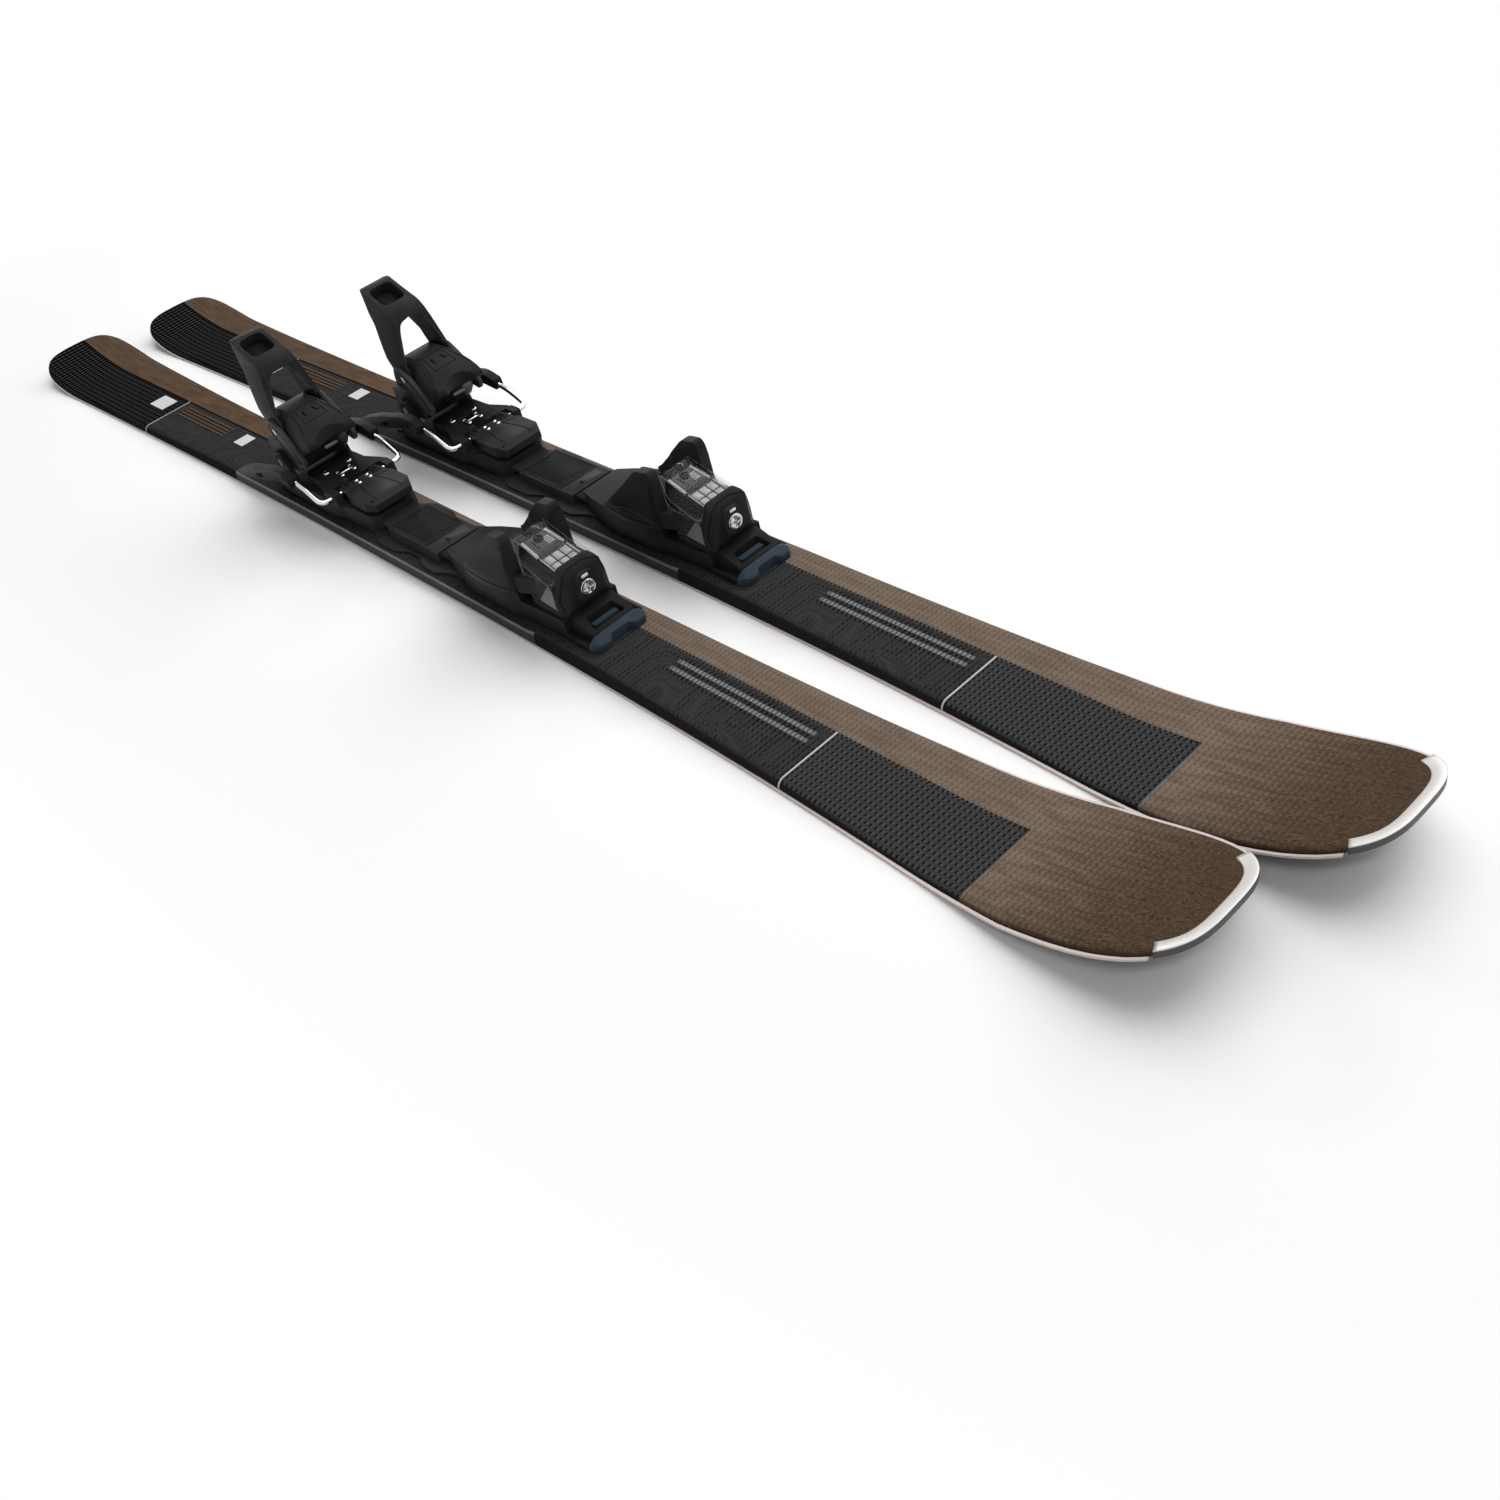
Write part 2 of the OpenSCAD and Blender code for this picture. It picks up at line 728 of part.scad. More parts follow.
module heel_carriage_shape() {
    low = lip_z0 - sole_z;
    plan = [[24, -104], [31, -98], [upright_out, -82], [upright_out, 20], [30, 34], [30, 60],
            [26, 86], [20, 92]];
    side = [[-104, low], [-104, deck_z - 2], [-98, deck_z + 2], [62, deck_z + 2], [92, deck_z - 2],
            [92, low]];
    upright = [[axle_y - 15, deck_z], [axle_y - 12, axle_z + 5], [axle_y - 6, axle_z + 10],
               [axle_y + 6, axle_z + 10], [axle_y + 13, axle_z + 4], [axle_y + 20, deck_z]];
    color("#2c2e31")
        difference() {
            union() {
                translate([0, heel_y, 0])
                    intersection() {
                        translate([0, 0, sole_z])
                            side_prism(upright_out, side);
                        plan_prism(0, 2 * sole_z, mirrored(plan));
                    }
                at_heel()
                    on_both_sides()
                        translate([(upright_in + upright_out) / 2, 0, 0])
                            side_prism((upright_out - upright_in) / 2, upright);
            }
            rail_channel(heel_y - 104 - cut, heel_y + 92 + cut);
            at_heel()
                cross_rod(axle_r + pin_gap, upright_out + cut, axle_y, axle_z);
        }
}

// Region beside the housing's core that the lever's legs sweep
module leg_sweep(half) {
    side_prism(half, [[lever_y + 12, lever_z], [lever_y + 14, 100], [-120, 100], [-120, lever_z - 22],
                      [lever_y - 6, lever_z - 12]]);
    cross_rod(11.5, half, lever_y, lever_z);
}

module heel_housing_shape() {
    profile = [[-83, 4, 3], [-87, 16, 6], [-86, 36, 8], [-80, 50, 7], [-66, 61, 7], [-44, 66, 10],
               [-20, 63, 10],
               [0, 54, 6], [11, 44, 4], [11, 37, 3], [-4, 32, 6], [-16, 22, 6], [-28, 8, 4],
               [-36, 2, 3], [-74, 1, 3]];
    front = [[jaw_half, 0], [jaw_half, 40, 6], [25, 52, 5], [19, 63, 5], [10, 68, 4]];
    color("#2e3033")
        at_heel()
            difference() {
                intersection() {
                    side_prism(jaw_half, profile);
                    front_prism(-100, 30, mirrored(front));
                }
                difference() {
                    leg_sweep(jaw_half + cut);
                    block([-core_half, -130, 0], [core_half, 30, 120]);
                }
                translate([0, 38, -5])
                    cylinder(r = 38, h = 42);
                translate([0, 30, 30])
                    cylinder(r = 26, h = 40);
                cross_rod(axle_r, jaw_half + cut, axle_y, axle_z);
                cross_rod(lever_pin_r, jaw_half + cut, lever_y, lever_z);
                long_rod(heel_bore_r, -76, -26, heel_bore_z);
                long_rod(heel_screw_r + pin_gap, -90, -75, heel_bore_z);
                on_both_sides()
                    translate([6.5, -17, 63])
                        rotate([0, 0, -12])
                            cube([2.2, 11, 6], center = true);
            }
}

module heel_cheeks_shape() {
    color("#46484b")
        at_heel()
            on_both_sides()
                translate([jaw_half + cheek_t / 2, 0, 0])
                    side_prism(cheek_t / 2, [[-60, 57, 7], [-48, 61, 8], [-24, 47, 12], [-5, 24, 8],
                                             [-8, 15, 5],
                                             [-22, 17, 9], [-46, 36, 12]]);
}

module heel_lever_shape() {
    head_z = lever_h - 8.5;
    head_y = -73.5;
    side = [[lever_back, lever_h - 9, 5], [lever_back + 1, lever_h, 3], [lever_back + 8, lever_h, 4],
            [-52, lever_h - 17, 4], [-47, lever_h - 25, 5], [-40, lever_z + 22, 8],
            [lever_y + 9, lever_z + 4, 5],
            [lever_y + 7, lever_z - 7, 4], [lever_y, lever_z - 10, 4], [lever_y - 8, lever_z - 7, 5],
            [lever_y - 28, lever_z + 14, 12]];
    outer = [[leg_out, 20], [leg_out, 62, 12], [22.6, 94, 12], [18.2, 116, 8], [17.4, lever_h + cut]];
    inner = [[leg_in, 20], [leg_in, 72], [15.5, 92, 6], [11, 100, 4], [0, 102]];
    head = [[leg_out + cut, 20], [leg_out + cut, lever_back + 29, 8], [19.5, lever_back + 16, 8],
            [17.4, lever_back + 4, 8], [7, lever_back - 0.2, 5]];
    pocket = [[pocket_half, pocket_rear, pocket_round], [pocket_half, pocket_front, pocket_round]];
    color("#303235")
        at_heel()
            difference() {
                intersection() {
                    side_prism(leg_out, side);
                    front_prism(lever_back - cut, 0, mirrored(outer));
                    plan_prism(0, lever_h + cut, mirrored(head));
                }
                front_prism(lever_back - 2 * cut, 10, mirrored(inner));
                translate([0, head_y, head_z])
                    rotate([-lever_tilt, 0, 0])
                        plan_prism(-pocket_depth, 2 * pocket_depth, mirrored(pocket));
                cross_rod(lever_pin_r + pin_gap, leg_out + cut, lever_y, lever_z);
            }
}

module heel_pins_shape() {
    color("#a9abad")
        at_heel() {
            cross_rod(axle_r, upright_out, axle_y, axle_z);
            cross_rod(lever_pin_r, jaw_half, lever_y, lever_z);
        }
}

module heel_spring_shape() {
    color("#8f9294")
        at_heel()
            coil(heel_spring_r, heel_wire_r, heel_spring_l, 7, heel_spring_y, heel_bore_z);
}

module heel_screw_shape() {
    color("#c9cbcd")
        at_heel()
            difference() {
                long_rod(heel_screw_r, -88.5, -76, heel_bore_z);
                translate([0, -88.5, heel_bore_z])
                    cube([heel_screw_r * 1.5, 5, 1.8], center = true);
            }
}

module brake_plate_shape() {
    plan = [[22, -34], [26, -28], [27, 0], [lug_out, 22], [lug_out, 44], [30, 52], [26, 60]];
    side = [[-34, deck_z + 2], [-34, 0], [27, 0], [29, brake_z + 5], [44, brake_z + 5],
            [46, pad_seat_z], [60, pad_seat_z], [60, deck_z + 2]];
    color("#27292b")
        at_heel()
            difference() {
                intersection() {
                    side_prism(lug_out, side);
                    plan_prism(deck_z + 2, 20, mirrored(plan));
                }
                block([-lug_in, brake_y - 8, pad_seat_z], [lug_in, 70, 20]);
                cross_rod(wire_r + pin_gap, lug_out + cut, brake_y, brake_z);
                block([-7, -4, -4], [7, 20, cut]);
            }
}

// Wire lying flat, its cross rod on the X axis and its arms along -Y
module flat_wire() {
    rotate([0, 90, 0])
        cylinder(r = wire_r, h = 2 * (wire_half - wire_bend_r), center = true);
    on_both_sides() {
        translate([wire_half - wire_bend_r, -wire_bend_r, 0])
            rotate_extrude(angle = 90)
                translate([wire_bend_r, 0])
                    circle(r = wire_r);
        translate([wire_half, -wire_bend_r, 0])
            rotate([90, 0, 0])
                cylinder(r = wire_r, h = arm_l);
    }
}

module brake_wire_shape() {
    color("#d4d6d8")
        at_heel()
            translate([0, brake_y, brake_z])
                rotate([-wire_rise, 0, 0])
                    flat_wire();
}

module brake_pad_shape() {
    plan = [[hub_half, brake_y - 6], [hub_half, 50], [pad_half, 56], [pad_half, 84],
            [21, pad_front], [0, pad_front]];
    side = [[brake_y - 5, brake_z - 3], [brake_y - 5, brake_z + 3], [brake_y - 1, 1.5], [88, 2],
            [pad_front, -1], [pad_front, pad_low], [50, pad_low], [brake_y + 5, pad_low + 0.5],
            [brake_y - 2, pad_low]];
    color("#323437")
        at_heel()
            difference() {
                intersection() {
                    side_prism(pad_half, side);
                    plan_prism(-20, 20, mirrored(plan));
                }
                cross_rod(wire_r, hub_half + cut, brake_y, brake_z);
            }
}

module brake_tips_shape() {
    side = [[-tip_mouth, 8.6], [-tip_mouth, 18.6, 2], [-64, 23.4, 8], [-84, 20, 9], [-140, 6, 20],
            [-tip_reach, -6, 3], [2 - tip_reach, -12, 3], [-120, -3, 20], [-70, 11, 8]];
    color("#2c2e30")
        at_heel()
            translate([0, brake_y, brake_z])
                on_both_sides()
                    difference() {
                        translate([tip_in + tip_half, 0, 0])
                            side_prism(tip_half, side);
                        translate([wire_half, 0, 0])
                            rotate([90 - wire_rise, 0, 0])
                                cylinder(r = wire_r, h = wire_bend_r + arm_l);
                    }
}

module right_running_base() { on_right() running_base_shape(); }
module right_steel_edges() { on_right() steel_edges_shape(); }
module right_wood_core() { on_right() wood_core_shape(); }
module right_sidewalls() { on_right() sidewalls_shape(); }
module right_top_sheet() { on_right() top_sheet_shape(); }
module right_tip_guard() { on_right() tip_guard_shape(); }
module right_rail() { on_right() rail_shape(); }
module right_rail_screws() { on_right() rail_screws_shape(); }
module right_toe_carriage() { on_right() toe_carriage_shape(); }
module right_toe_trim() { on_right() toe_trim_shape(); }
module right_toe_housing() { on_right() toe_housing_shape(); }
module right_toe_cover() { on_right() toe_cover_shape(); }
module right_toe_outer_wing() { on_right() toe_outer_wing_shape(); }
module right_toe_inner_wing() { on_right() toe_inner_wing_shape(); }
module right_wing_pins() { on_right() wing_pins_shape(); }
module right_toe_spring() { on_right() toe_spring_shape(); }
module right_toe_plunger() { on_right() toe_plunger_shape(); }
module right_toe_screw() { on_right() toe_screw_shape(); }
module right_slide_plate() { on_right() slide_plate_shape(); }
module right_heel_carriage() { on_right() heel_carriage_shape(); }
module right_heel_housing() { on_right() heel_housing_shape(); }
module right_heel_cheeks() { on_right() heel_cheeks_shape(); }
module right_heel_lever() { on_right() heel_lever_shape(); }
module right_heel_pins() { on_right() heel_pins_shape(); }
module right_heel_spring() { on_right() heel_spring_shape(); }
module right_heel_screw() { on_right() heel_screw_shape(); }
module right_brake_plate() { on_right() brake_plate_shape(); }
module right_brake_wire() { on_right() brake_wire_shape(); }
module right_brake_pad() { on_right() brake_pad_shape(); }
module right_brake_tips() { on_right() brake_tips_shape(); }

module left_running_base() { on_left() running_base_shape(); }
module left_steel_edges() { on_left() steel_edges_shape(); }
module left_wood_core() { on_left() wood_core_shape(); }
module left_sidewalls() { on_left() sidewalls_shape(); }
module left_top_sheet() { on_left() top_sheet_shape(); }
module left_tip_guard() { on_left() tip_guard_shape(); }
module left_rail() { on_left() rail_shape(); }
module left_rail_screws() { on_left() rail_screws_shape(); }
module left_toe_carriage() { on_left() toe_carriage_shape(); }
module left_toe_trim() { on_left() toe_trim_shape(); }
module left_toe_housing() { on_left() toe_housing_shape(); }
module left_toe_cover() { on_left() toe_cover_shape(); }
module left_toe_outer_wing() { on_left() toe_outer_wing_shape(); }
module left_toe_inner_wing() { on_left() toe_inner_wing_shape(); }
module left_wing_pins() { on_left() wing_pins_shape(); }
module left_toe_spring() { on_left() toe_spring_shape(); }
module left_toe_plunger() { on_left() toe_plunger_shape(); }
module left_toe_screw() { on_left() toe_screw_shape(); }
module left_slide_plate() { on_left() slide_plate_shape(); }
module left_heel_carriage() { on_left() heel_carriage_shape(); }
module left_heel_housing() { on_left() heel_housing_shape(); }
module left_heel_cheeks() { on_left() heel_cheeks_shape(); }
module left_heel_lever() { on_left() heel_lever_shape(); }
module left_heel_pins() { on_left() heel_pins_shape(); }
module left_heel_spring() { on_left() heel_spring_shape(); }
module left_heel_screw() { on_left() heel_screw_shape(); }
module left_brake_plate() { on_left() brake_plate_shape(); }
module left_brake_wire() { on_left() brake_wire_shape(); }
module left_brake_pad() { on_left() brake_pad_shape(); }
module left_brake_tips() { on_left() brake_tips_shape(); }

right_running_base();
right_steel_edges();
right_wood_core();
right_sidewalls();
right_top_sheet();
right_tip_guard();
right_rail();
right_rail_screws();
right_toe_carriage();
right_toe_trim();
right_toe_housing();
right_toe_cover();
right_toe_outer_wing();
right_toe_inner_wing();
right_wing_pins();
right_toe_spring();
right_toe_plunger();
right_toe_screw();
right_slide_plate();
right_heel_carriage();
right_heel_housing();
right_heel_cheeks();
right_heel_lever();
right_heel_pins();
right_heel_spring();
right_heel_screw();
right_brake_plate();
right_brake_wire();
right_brake_pad();
right_brake_tips();
left_running_base();
left_steel_edges();
left_wood_core();
left_sidewalls();
left_top_sheet();
left_tip_guard();
left_rail();
left_rail_screws();
left_toe_carriage();
left_toe_trim();
left_toe_housing();
left_toe_cover();
left_toe_outer_wing();
left_toe_inner_wing();
left_wing_pins();
left_toe_spring();
left_toe_plunger();
left_toe_screw();
left_slide_plate();
left_heel_carriage();
left_heel_housing();
left_heel_cheeks();
left_heel_lever();
left_heel_pins();
left_heel_spring();
left_heel_screw();
left_brake_plate();
left_brake_wire();
left_brake_pad();
left_brake_tips();
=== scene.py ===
import math

import bmesh
import bpy
from mathutils import Matrix, Vector
from mathutils.bvhtree import BVHTree


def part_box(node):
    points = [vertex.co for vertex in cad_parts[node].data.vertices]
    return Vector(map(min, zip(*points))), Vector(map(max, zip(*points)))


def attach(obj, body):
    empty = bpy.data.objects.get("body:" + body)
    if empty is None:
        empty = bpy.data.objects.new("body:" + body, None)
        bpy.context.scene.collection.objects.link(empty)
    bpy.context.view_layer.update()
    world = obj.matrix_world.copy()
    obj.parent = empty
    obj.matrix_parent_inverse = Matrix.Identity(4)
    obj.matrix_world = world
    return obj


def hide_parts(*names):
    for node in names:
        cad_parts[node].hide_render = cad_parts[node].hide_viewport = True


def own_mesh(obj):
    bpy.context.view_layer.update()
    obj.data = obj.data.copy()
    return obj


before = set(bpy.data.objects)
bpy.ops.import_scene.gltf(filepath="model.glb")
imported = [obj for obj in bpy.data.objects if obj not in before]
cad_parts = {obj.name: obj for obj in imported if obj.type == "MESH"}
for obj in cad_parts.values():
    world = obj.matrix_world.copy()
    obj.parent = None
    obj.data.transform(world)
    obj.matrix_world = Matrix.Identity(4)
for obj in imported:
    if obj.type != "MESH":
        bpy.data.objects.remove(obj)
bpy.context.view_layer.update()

# Lengths are in metres, or in millimetres where a comment says so. Pieces are modelled in the frame of
# one ski, with its centre at the origin, +Y to the tip and z = 0 at the running base.
MM = 0.001
SIDES = ("right", "left")

# Meshes: points closer than these are welded, and the angles, in degrees, tell flat faces and rounded edges
WELD = 1e-6
CAD_WELD = 2e-6
FLAT_ANGLE = 1
BEVEL_ANGLE = 24


def ski_origin(side):
    """Centre of a ski on the floor, from the boxes of its base and its tip guard."""
    base_low, base_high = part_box(f"{side}_running_base")
    guard_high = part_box(f"{side}_tip_guard")[1]
    return Vector(((base_low.x + base_high.x) / 2, (base_low.y + guard_high.y) / 2, 0))


ORIGIN = {side: ski_origin(side) for side in SIDES}

# Plan and side view of a ski, as built
SKI_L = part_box("right_tip_guard")[1].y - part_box("right_running_base")[0].y
SHOVEL_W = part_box("right_running_base")[1].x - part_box("right_running_base")[0].x
WAIST_W = 84 * MM
TAIL_W = 111 * MM
MID_T = 14 * MM
END_T = 6 * MM
BASE_T = 2 * MM
TIP_RISE = 50 * MM
TAIL_RISE = 19 * MM
TIP_Y = SKI_L / 2
TAIL_Y = -SKI_L / 2
SHOVEL_Y = TIP_Y - 130 * MM
HEEL_WIDE_Y = TAIL_Y + 85 * MM
WAIST_Y = -30 * MM
FRONT_CONTACT_Y = TIP_Y - 225 * MM
REAR_CONTACT_Y = TAIL_Y + 125 * MM
PLATFORM_HALF = 300 * MM
GUARD_END_Y = TIP_Y - 24 * MM
GUARD_W = 9 * MM
GUARD_PROUD = 0.6 * MM
GUARD_LIP = 0.8 * MM
EDGE_LEDGE = 0.7 * MM
TIP_BLUNT = 3.3
TAIL_BLUNT = 3.5

# The cap's rounding is narrower at the tail, and upright sidewalls take its place under the binding
CAP_IN = 7 * MM
CAP_IN_TAIL = 2 * MM
CAP_GROWTH = 60 * MM
WALL_START_Y = (-370 * MM, -310 * MM)
WALL_END_Y = (203 * MM, 233 * MM)
WALL_SHARE = 0.5
# Half of the sidewall's section from its foot up: inset, and share of the height that is left above
WALL_PROFILE = [(0, 1), (0, 0.7), (0, 0.4), (0, 0.17), (0.5 * MM, 0.1), (1.5 * MM, 0.02), (2.5 * MM, 0)]
WALL_STEPS = range(3)
BEVEL_STEPS = range(3, 5)
TOP_STRIPS = 8
TOP, WALL, BEVEL = range(3)

# Print on the top sheet, in the ski's frame
DIVIDER_X = -15.8 * MM
REAR_LINE_Y = -567 * MM
FRONT_LINE_Y = 527.5 * MM
PANEL_END_Y = 708.7 * MM
LINE_HALF = 0.8 * MM
PRINT_SOFT = 0.2 * MM
SCALE_PITCH_X = 5.4 * MM
SCALE_PITCH_Y = 4.9 * MM
TAIL_PITCH_X = 6.1 * MM
TAIL_PITCH_Y = 5.8 * MM
DASH_PITCH = 4.3 * MM
TIP_DARK_Y = (750 * MM, 880 * MM)
TIP_DRIFT = 110 * MM
# Painted highlights on the tip's scales fade out between these two lengths
TIP_HIGHLIGHT_Y = (TIP_Y - 20 * MM, TIP_Y - 110 * MM)
TAIL_DARK_Y = (-200 * MM, -430 * MM)
STRIPE_Y = (359 * MM, 515 * MM)
STRIPE_CENTRES = (-4.7 * MM, 4.6 * MM)
STRIPE_HALF = 2 * MM
STRIPE_FIELD_X = (-11 * MM, 11 * MM)
PATCH_X = (-9 * MM, 10 * MM)
PATCH_Y = (-553 * MM, -436 * MM)
PATCH_PITCH = 4.8 * MM
BORDER_X = (DIVIDER_X - 0.2 * MM, DIVIDER_X + 2 * MM)
BORDER_DASH_Y = (-60 * MM, PANEL_END_Y)
# Plain tiles: the x range and the y range of each, and the dark margin round them
TILES = (((-8 * MM, 13.5 * MM), (-622 * MM, -587 * MM)), ((-9.5 * MM, 9 * MM), (-405 * MM, -384 * MM)))
TILE_MARGIN = 1.2 * MM

# Frames of the binding in millimetres: the front and the rear end of the boot sole
BOOT_L = 315
BOOT_MID_Y = 8
SOLE_Z = 47
TOE = Vector((0, BOOT_MID_Y + BOOT_L / 2, SOLE_Z))
HEEL = Vector((0, BOOT_MID_Y - BOOT_L / 2, SOLE_Z))


def linear(red, green, blue):
    """Linear colour of an 8-bit display colour."""
    def one(value):
        value /= 255
        return value / 12.92 if value <= 0.04045 else ((value + 0.055) / 1.055) ** 2.4
    return (one(red), one(green), one(blue), 1)


def neutral(value):
    """A grey with a trace of blue."""
    return linear(value, value, value + 1)


def smoothstep(low, high, value):
    part = min(1, max(0, (value - low) / (high - low)))
    return part * part * (3 - 2 * part)


class Graph:
    """Node tree of a new material, or of the world given as owner, with short calls for its nodes."""

    def __init__(self, name="", owner=None, **settings):
        self.material = owner or bpy.data.materials.new(name)
        self.material.use_nodes = True
        self.tree = self.material.node_tree
        self.shader = self.tree.nodes.get("Principled BSDF")
        self.set(**settings)

    def set(self, **settings):
        for key, value in settings.items():
            self.put(self.shader.inputs[key.replace("_", " ")], value)

    def put(self, socket, value):
        if isinstance(value, bpy.types.NodeSocket):
            self.tree.links.new(value, socket)
        elif value is not None:
            socket.default_value = value

    def node(self, kind, inputs=None, **attributes):
        made = self.tree.nodes.new(kind)
        for key, value in attributes.items():
            setattr(made, key, value)
        for key, value in (inputs or {}).items():
            self.put(made.inputs[key], value)
        return made

    def math(self, operation, *values):
        return self.node("ShaderNodeMath", dict(enumerate(values)), operation=operation).outputs[0]

    def times(self, first, second):
        return self.math("MULTIPLY", first, second)

    def position(self):
        return self.node("ShaderNodeTexCoord").outputs["Object"]

    def split(self, vector):
        return self.node("ShaderNodeSeparateXYZ", {0: vector}).outputs

    def stretched(self, vector, scale, turn=0):
        inputs = {"Vector": vector, "Scale": scale, "Rotation": (0, 0, math.radians(turn))}
        return self.node("ShaderNodeMapping", inputs).outputs[0]

    def noise(self, vector, scale, detail=3, distortion=0):
        inputs = {"Vector": vector, "Scale": scale, "Detail": detail, "Distortion": distortion}
        return self.node("ShaderNodeTexNoise", inputs).outputs["Fac"]

    def mix(self, factor, first, second):
        inputs = {"Factor": factor, 6: first, 7: second}
        return self.node("ShaderNodeMix", inputs, data_type="RGBA").outputs[2]

    def remap(self, value, low, high, to_low=0, to_high=1, smooth=False):
        inputs = {"Value": value, "From Min": low, "From Max": high, "To Min": to_low, "To Max": to_high}
        kind = "SMOOTHSTEP" if smooth else "LINEAR"
        return self.node("ShaderNodeMapRange", inputs, interpolation_type=kind).outputs["Result"]

    def bump(self, height, distance, strength=1, normal=None):
        inputs = {"Height": height, "Distance": distance, "Strength": strength, "Normal": normal}
        return self.node("ShaderNodeBump", inputs).outputs[0]

    def seen(self):
        """1 for rays that come from the camera, a mirror or glass, else 0."""
        rays = self.node("ShaderNodeLightPath").outputs
        direct = self.math("MAXIMUM", rays["Is Camera Ray"], rays["Is Glossy Ray"])
        return self.math("MAXIMUM", direct, rays["Is Transmission Ray"])


def band(graph, value, low, high, soft=0.25 * MM):
    """1 where value lies between low and high, with a soft border."""
    above = graph.remap(value, low - soft, low + soft)
    below = graph.remap(value, high - soft, high + soft, 1, 0)
    return graph.times(above, below)


def shaded(colour, share):
    """A colour with its brightness multiplied."""
    return tuple(share * part for part in colour[:3]) + (1,)


def plastic(name, colour, roughness=0.4, grain=0.08, grain_scale=2600, specular=0.03):
    """Moulded plastic: fine grain, faint cloudy colour and uneven gloss."""
    graph = Graph(name, Specular_IOR_Level=specular)
    place = graph.position()
    cloud = graph.noise(place, 38, 4)
    fine = graph.noise(place, grain_scale, 2)
    graph.set(Base_Color=graph.mix(graph.remap(cloud, 0.3, 0.7), shaded(colour, 0.84), shaded(colour, 1.18)))
    graph.set(Roughness=graph.remap(cloud, 0.3, 0.7, roughness - 0.07, roughness + 0.07))
    graph.set(Normal=graph.bump(fine, 0.25 * MM, grain))
    return graph.material


def metal(name, colour, roughness, brush=(60, 60, 60), brush_strength=0.1, metallic=1):
    """Metal with fine brushing: brush gives the noise scale along each axis."""
    graph = Graph(name, Metallic=metallic)
    place = graph.stretched(graph.position(), brush)
    lines = graph.noise(place, 14, 4)
    graph.set(Base_Color=graph.mix(graph.remap(lines, 0.3, 0.7), shaded(colour, 0.8), colour))
    graph.set(Roughness=graph.remap(lines, 0.25, 0.75, roughness * 0.7, roughness * 1.3))
    graph.set(Normal=graph.bump(lines, 0.1 * MM, brush_strength))
    return graph.material


def cells(graph, value, pitch):
    """Place inside the cells of a row, from -0.5 to 0.5."""
    return graph.math("SUBTRACT", graph.math("FRACT", graph.math("DIVIDE", value, pitch)), 0.5)


def bar_mask(graph, value, full, none):
    """1 in the middle of a cell, 0 towards its ends."""
    return graph.remap(graph.math("ABSOLUTE", value), full, none, 1, 0, True)


def past(graph, value, limit, low=0, high=1):
    """low below a limit and high above it, with the print's soft border."""
    return graph.remap(value, limit - PRINT_SOFT, limit + PRINT_SOFT, low, high)


def field(graph, x, y, range_x, range_y, margin=0):
    """1 inside a rectangle that is widened by a margin."""
    return graph.times(band(graph, x, range_x[0] - margin, range_x[1] + margin),
                       band(graph, y, range_y[0] - margin, range_y[1] + margin))


def scale_marks(graph, x, y):
    """Round embossed scales: height, dark crescents on the tail side as painted shade, dark dashes, light
    dashes as painted highlights, and cross strokes.
    """
    cell_x = cells(graph, x, SCALE_PITCH_X)
    cell_y = cells(graph, y, SCALE_PITCH_Y)
    squares = [graph.math("POWER", cell, 2) for cell in (cell_x, cell_y)]
    reach = graph.math("SQRT", graph.math("ADD", *squares))
    ring = graph.times(graph.remap(reach, 0.24, 0.42, smooth=True), graph.remap(reach, 0.62, 0.5))
    dash_x = bar_mask(graph, cell_x, 0.2, 0.42)
    dark_y = bar_mask(graph, graph.math("ADD", cell_y, 0.28), 0.07, 0.2)
    light_y = bar_mask(graph, graph.math("SUBTRACT", cell_y, 0.08), 0.06, 0.24)
    return {
        "height": graph.remap(reach, 0.52, 0.22, smooth=True),
        "shade_crescent": graph.times(ring, graph.remap(cell_y, 0.12, -0.16, smooth=True)),
        "dark_dash": graph.times(dash_x, dark_y),
        "highlight_dash": graph.times(dash_x, light_y),
        "stroke": bar_mask(graph, cell_y, 0.1, 0.4),
    }


def wood_print(graph, place, y, marks):
    """Brown wood: long streaks, wavy and darker towards the tip, with fine cross strokes at the tail; painted
    shade crescents darken the shovel's scales, and painted highlight dashes lie near the tip.
    """
    grain = graph.noise(graph.stretched(place, (60, 9, 1), 6), 3, 5, 0.5)
    warm = graph.noise(graph.stretched(place, (90, 30, 1), 20), 2, 3, 0.4)
    wave = graph.noise(graph.stretched(place, (70, 16, 1), -8), 2.2, 3, 0.8)
    streak = graph.remap(grain, 0.36, 0.64)
    shovel = graph.mix(streak, linear(122, 107, 95), linear(108, 94, 83))
    shovel = graph.mix(graph.remap(warm, 0.56, 0.68, 0, 0.4), shovel, linear(128, 104, 84))
    # Painted shade: the scales' crescents darken the brown
    shovel = graph.mix(graph.times(marks["shade_crescent"], 0.6), shovel, linear(80, 66, 55))
    wave_line = bar_mask(graph, cells(graph, wave, 0.07), 0.1, 0.34)
    tip = graph.mix(wave_line, linear(64, 52, 42), linear(90, 73, 59))
    # Painted highlights: light dashes on the scales near the tip
    tip_highlight = graph.times(marks["highlight_dash"], graph.remap(y, *TIP_HIGHLIGHT_Y, 0, 0.5))
    tip = graph.mix(tip_highlight, tip, linear(118, 103, 91))
    tail = graph.mix(streak, linear(104, 86, 71), linear(86, 70, 57))
    tail = graph.mix(graph.times(marks["stroke"], 0.7), tail, linear(70, 57, 46))
    drift = graph.math("MULTIPLY_ADD", grain, TIP_DRIFT, y)
    brown = graph.mix(graph.remap(drift, *TIP_DARK_Y, smooth=True), shovel, tip)
    return graph.mix(graph.remap(y, *TAIL_DARK_Y, smooth=True), brown, tail)


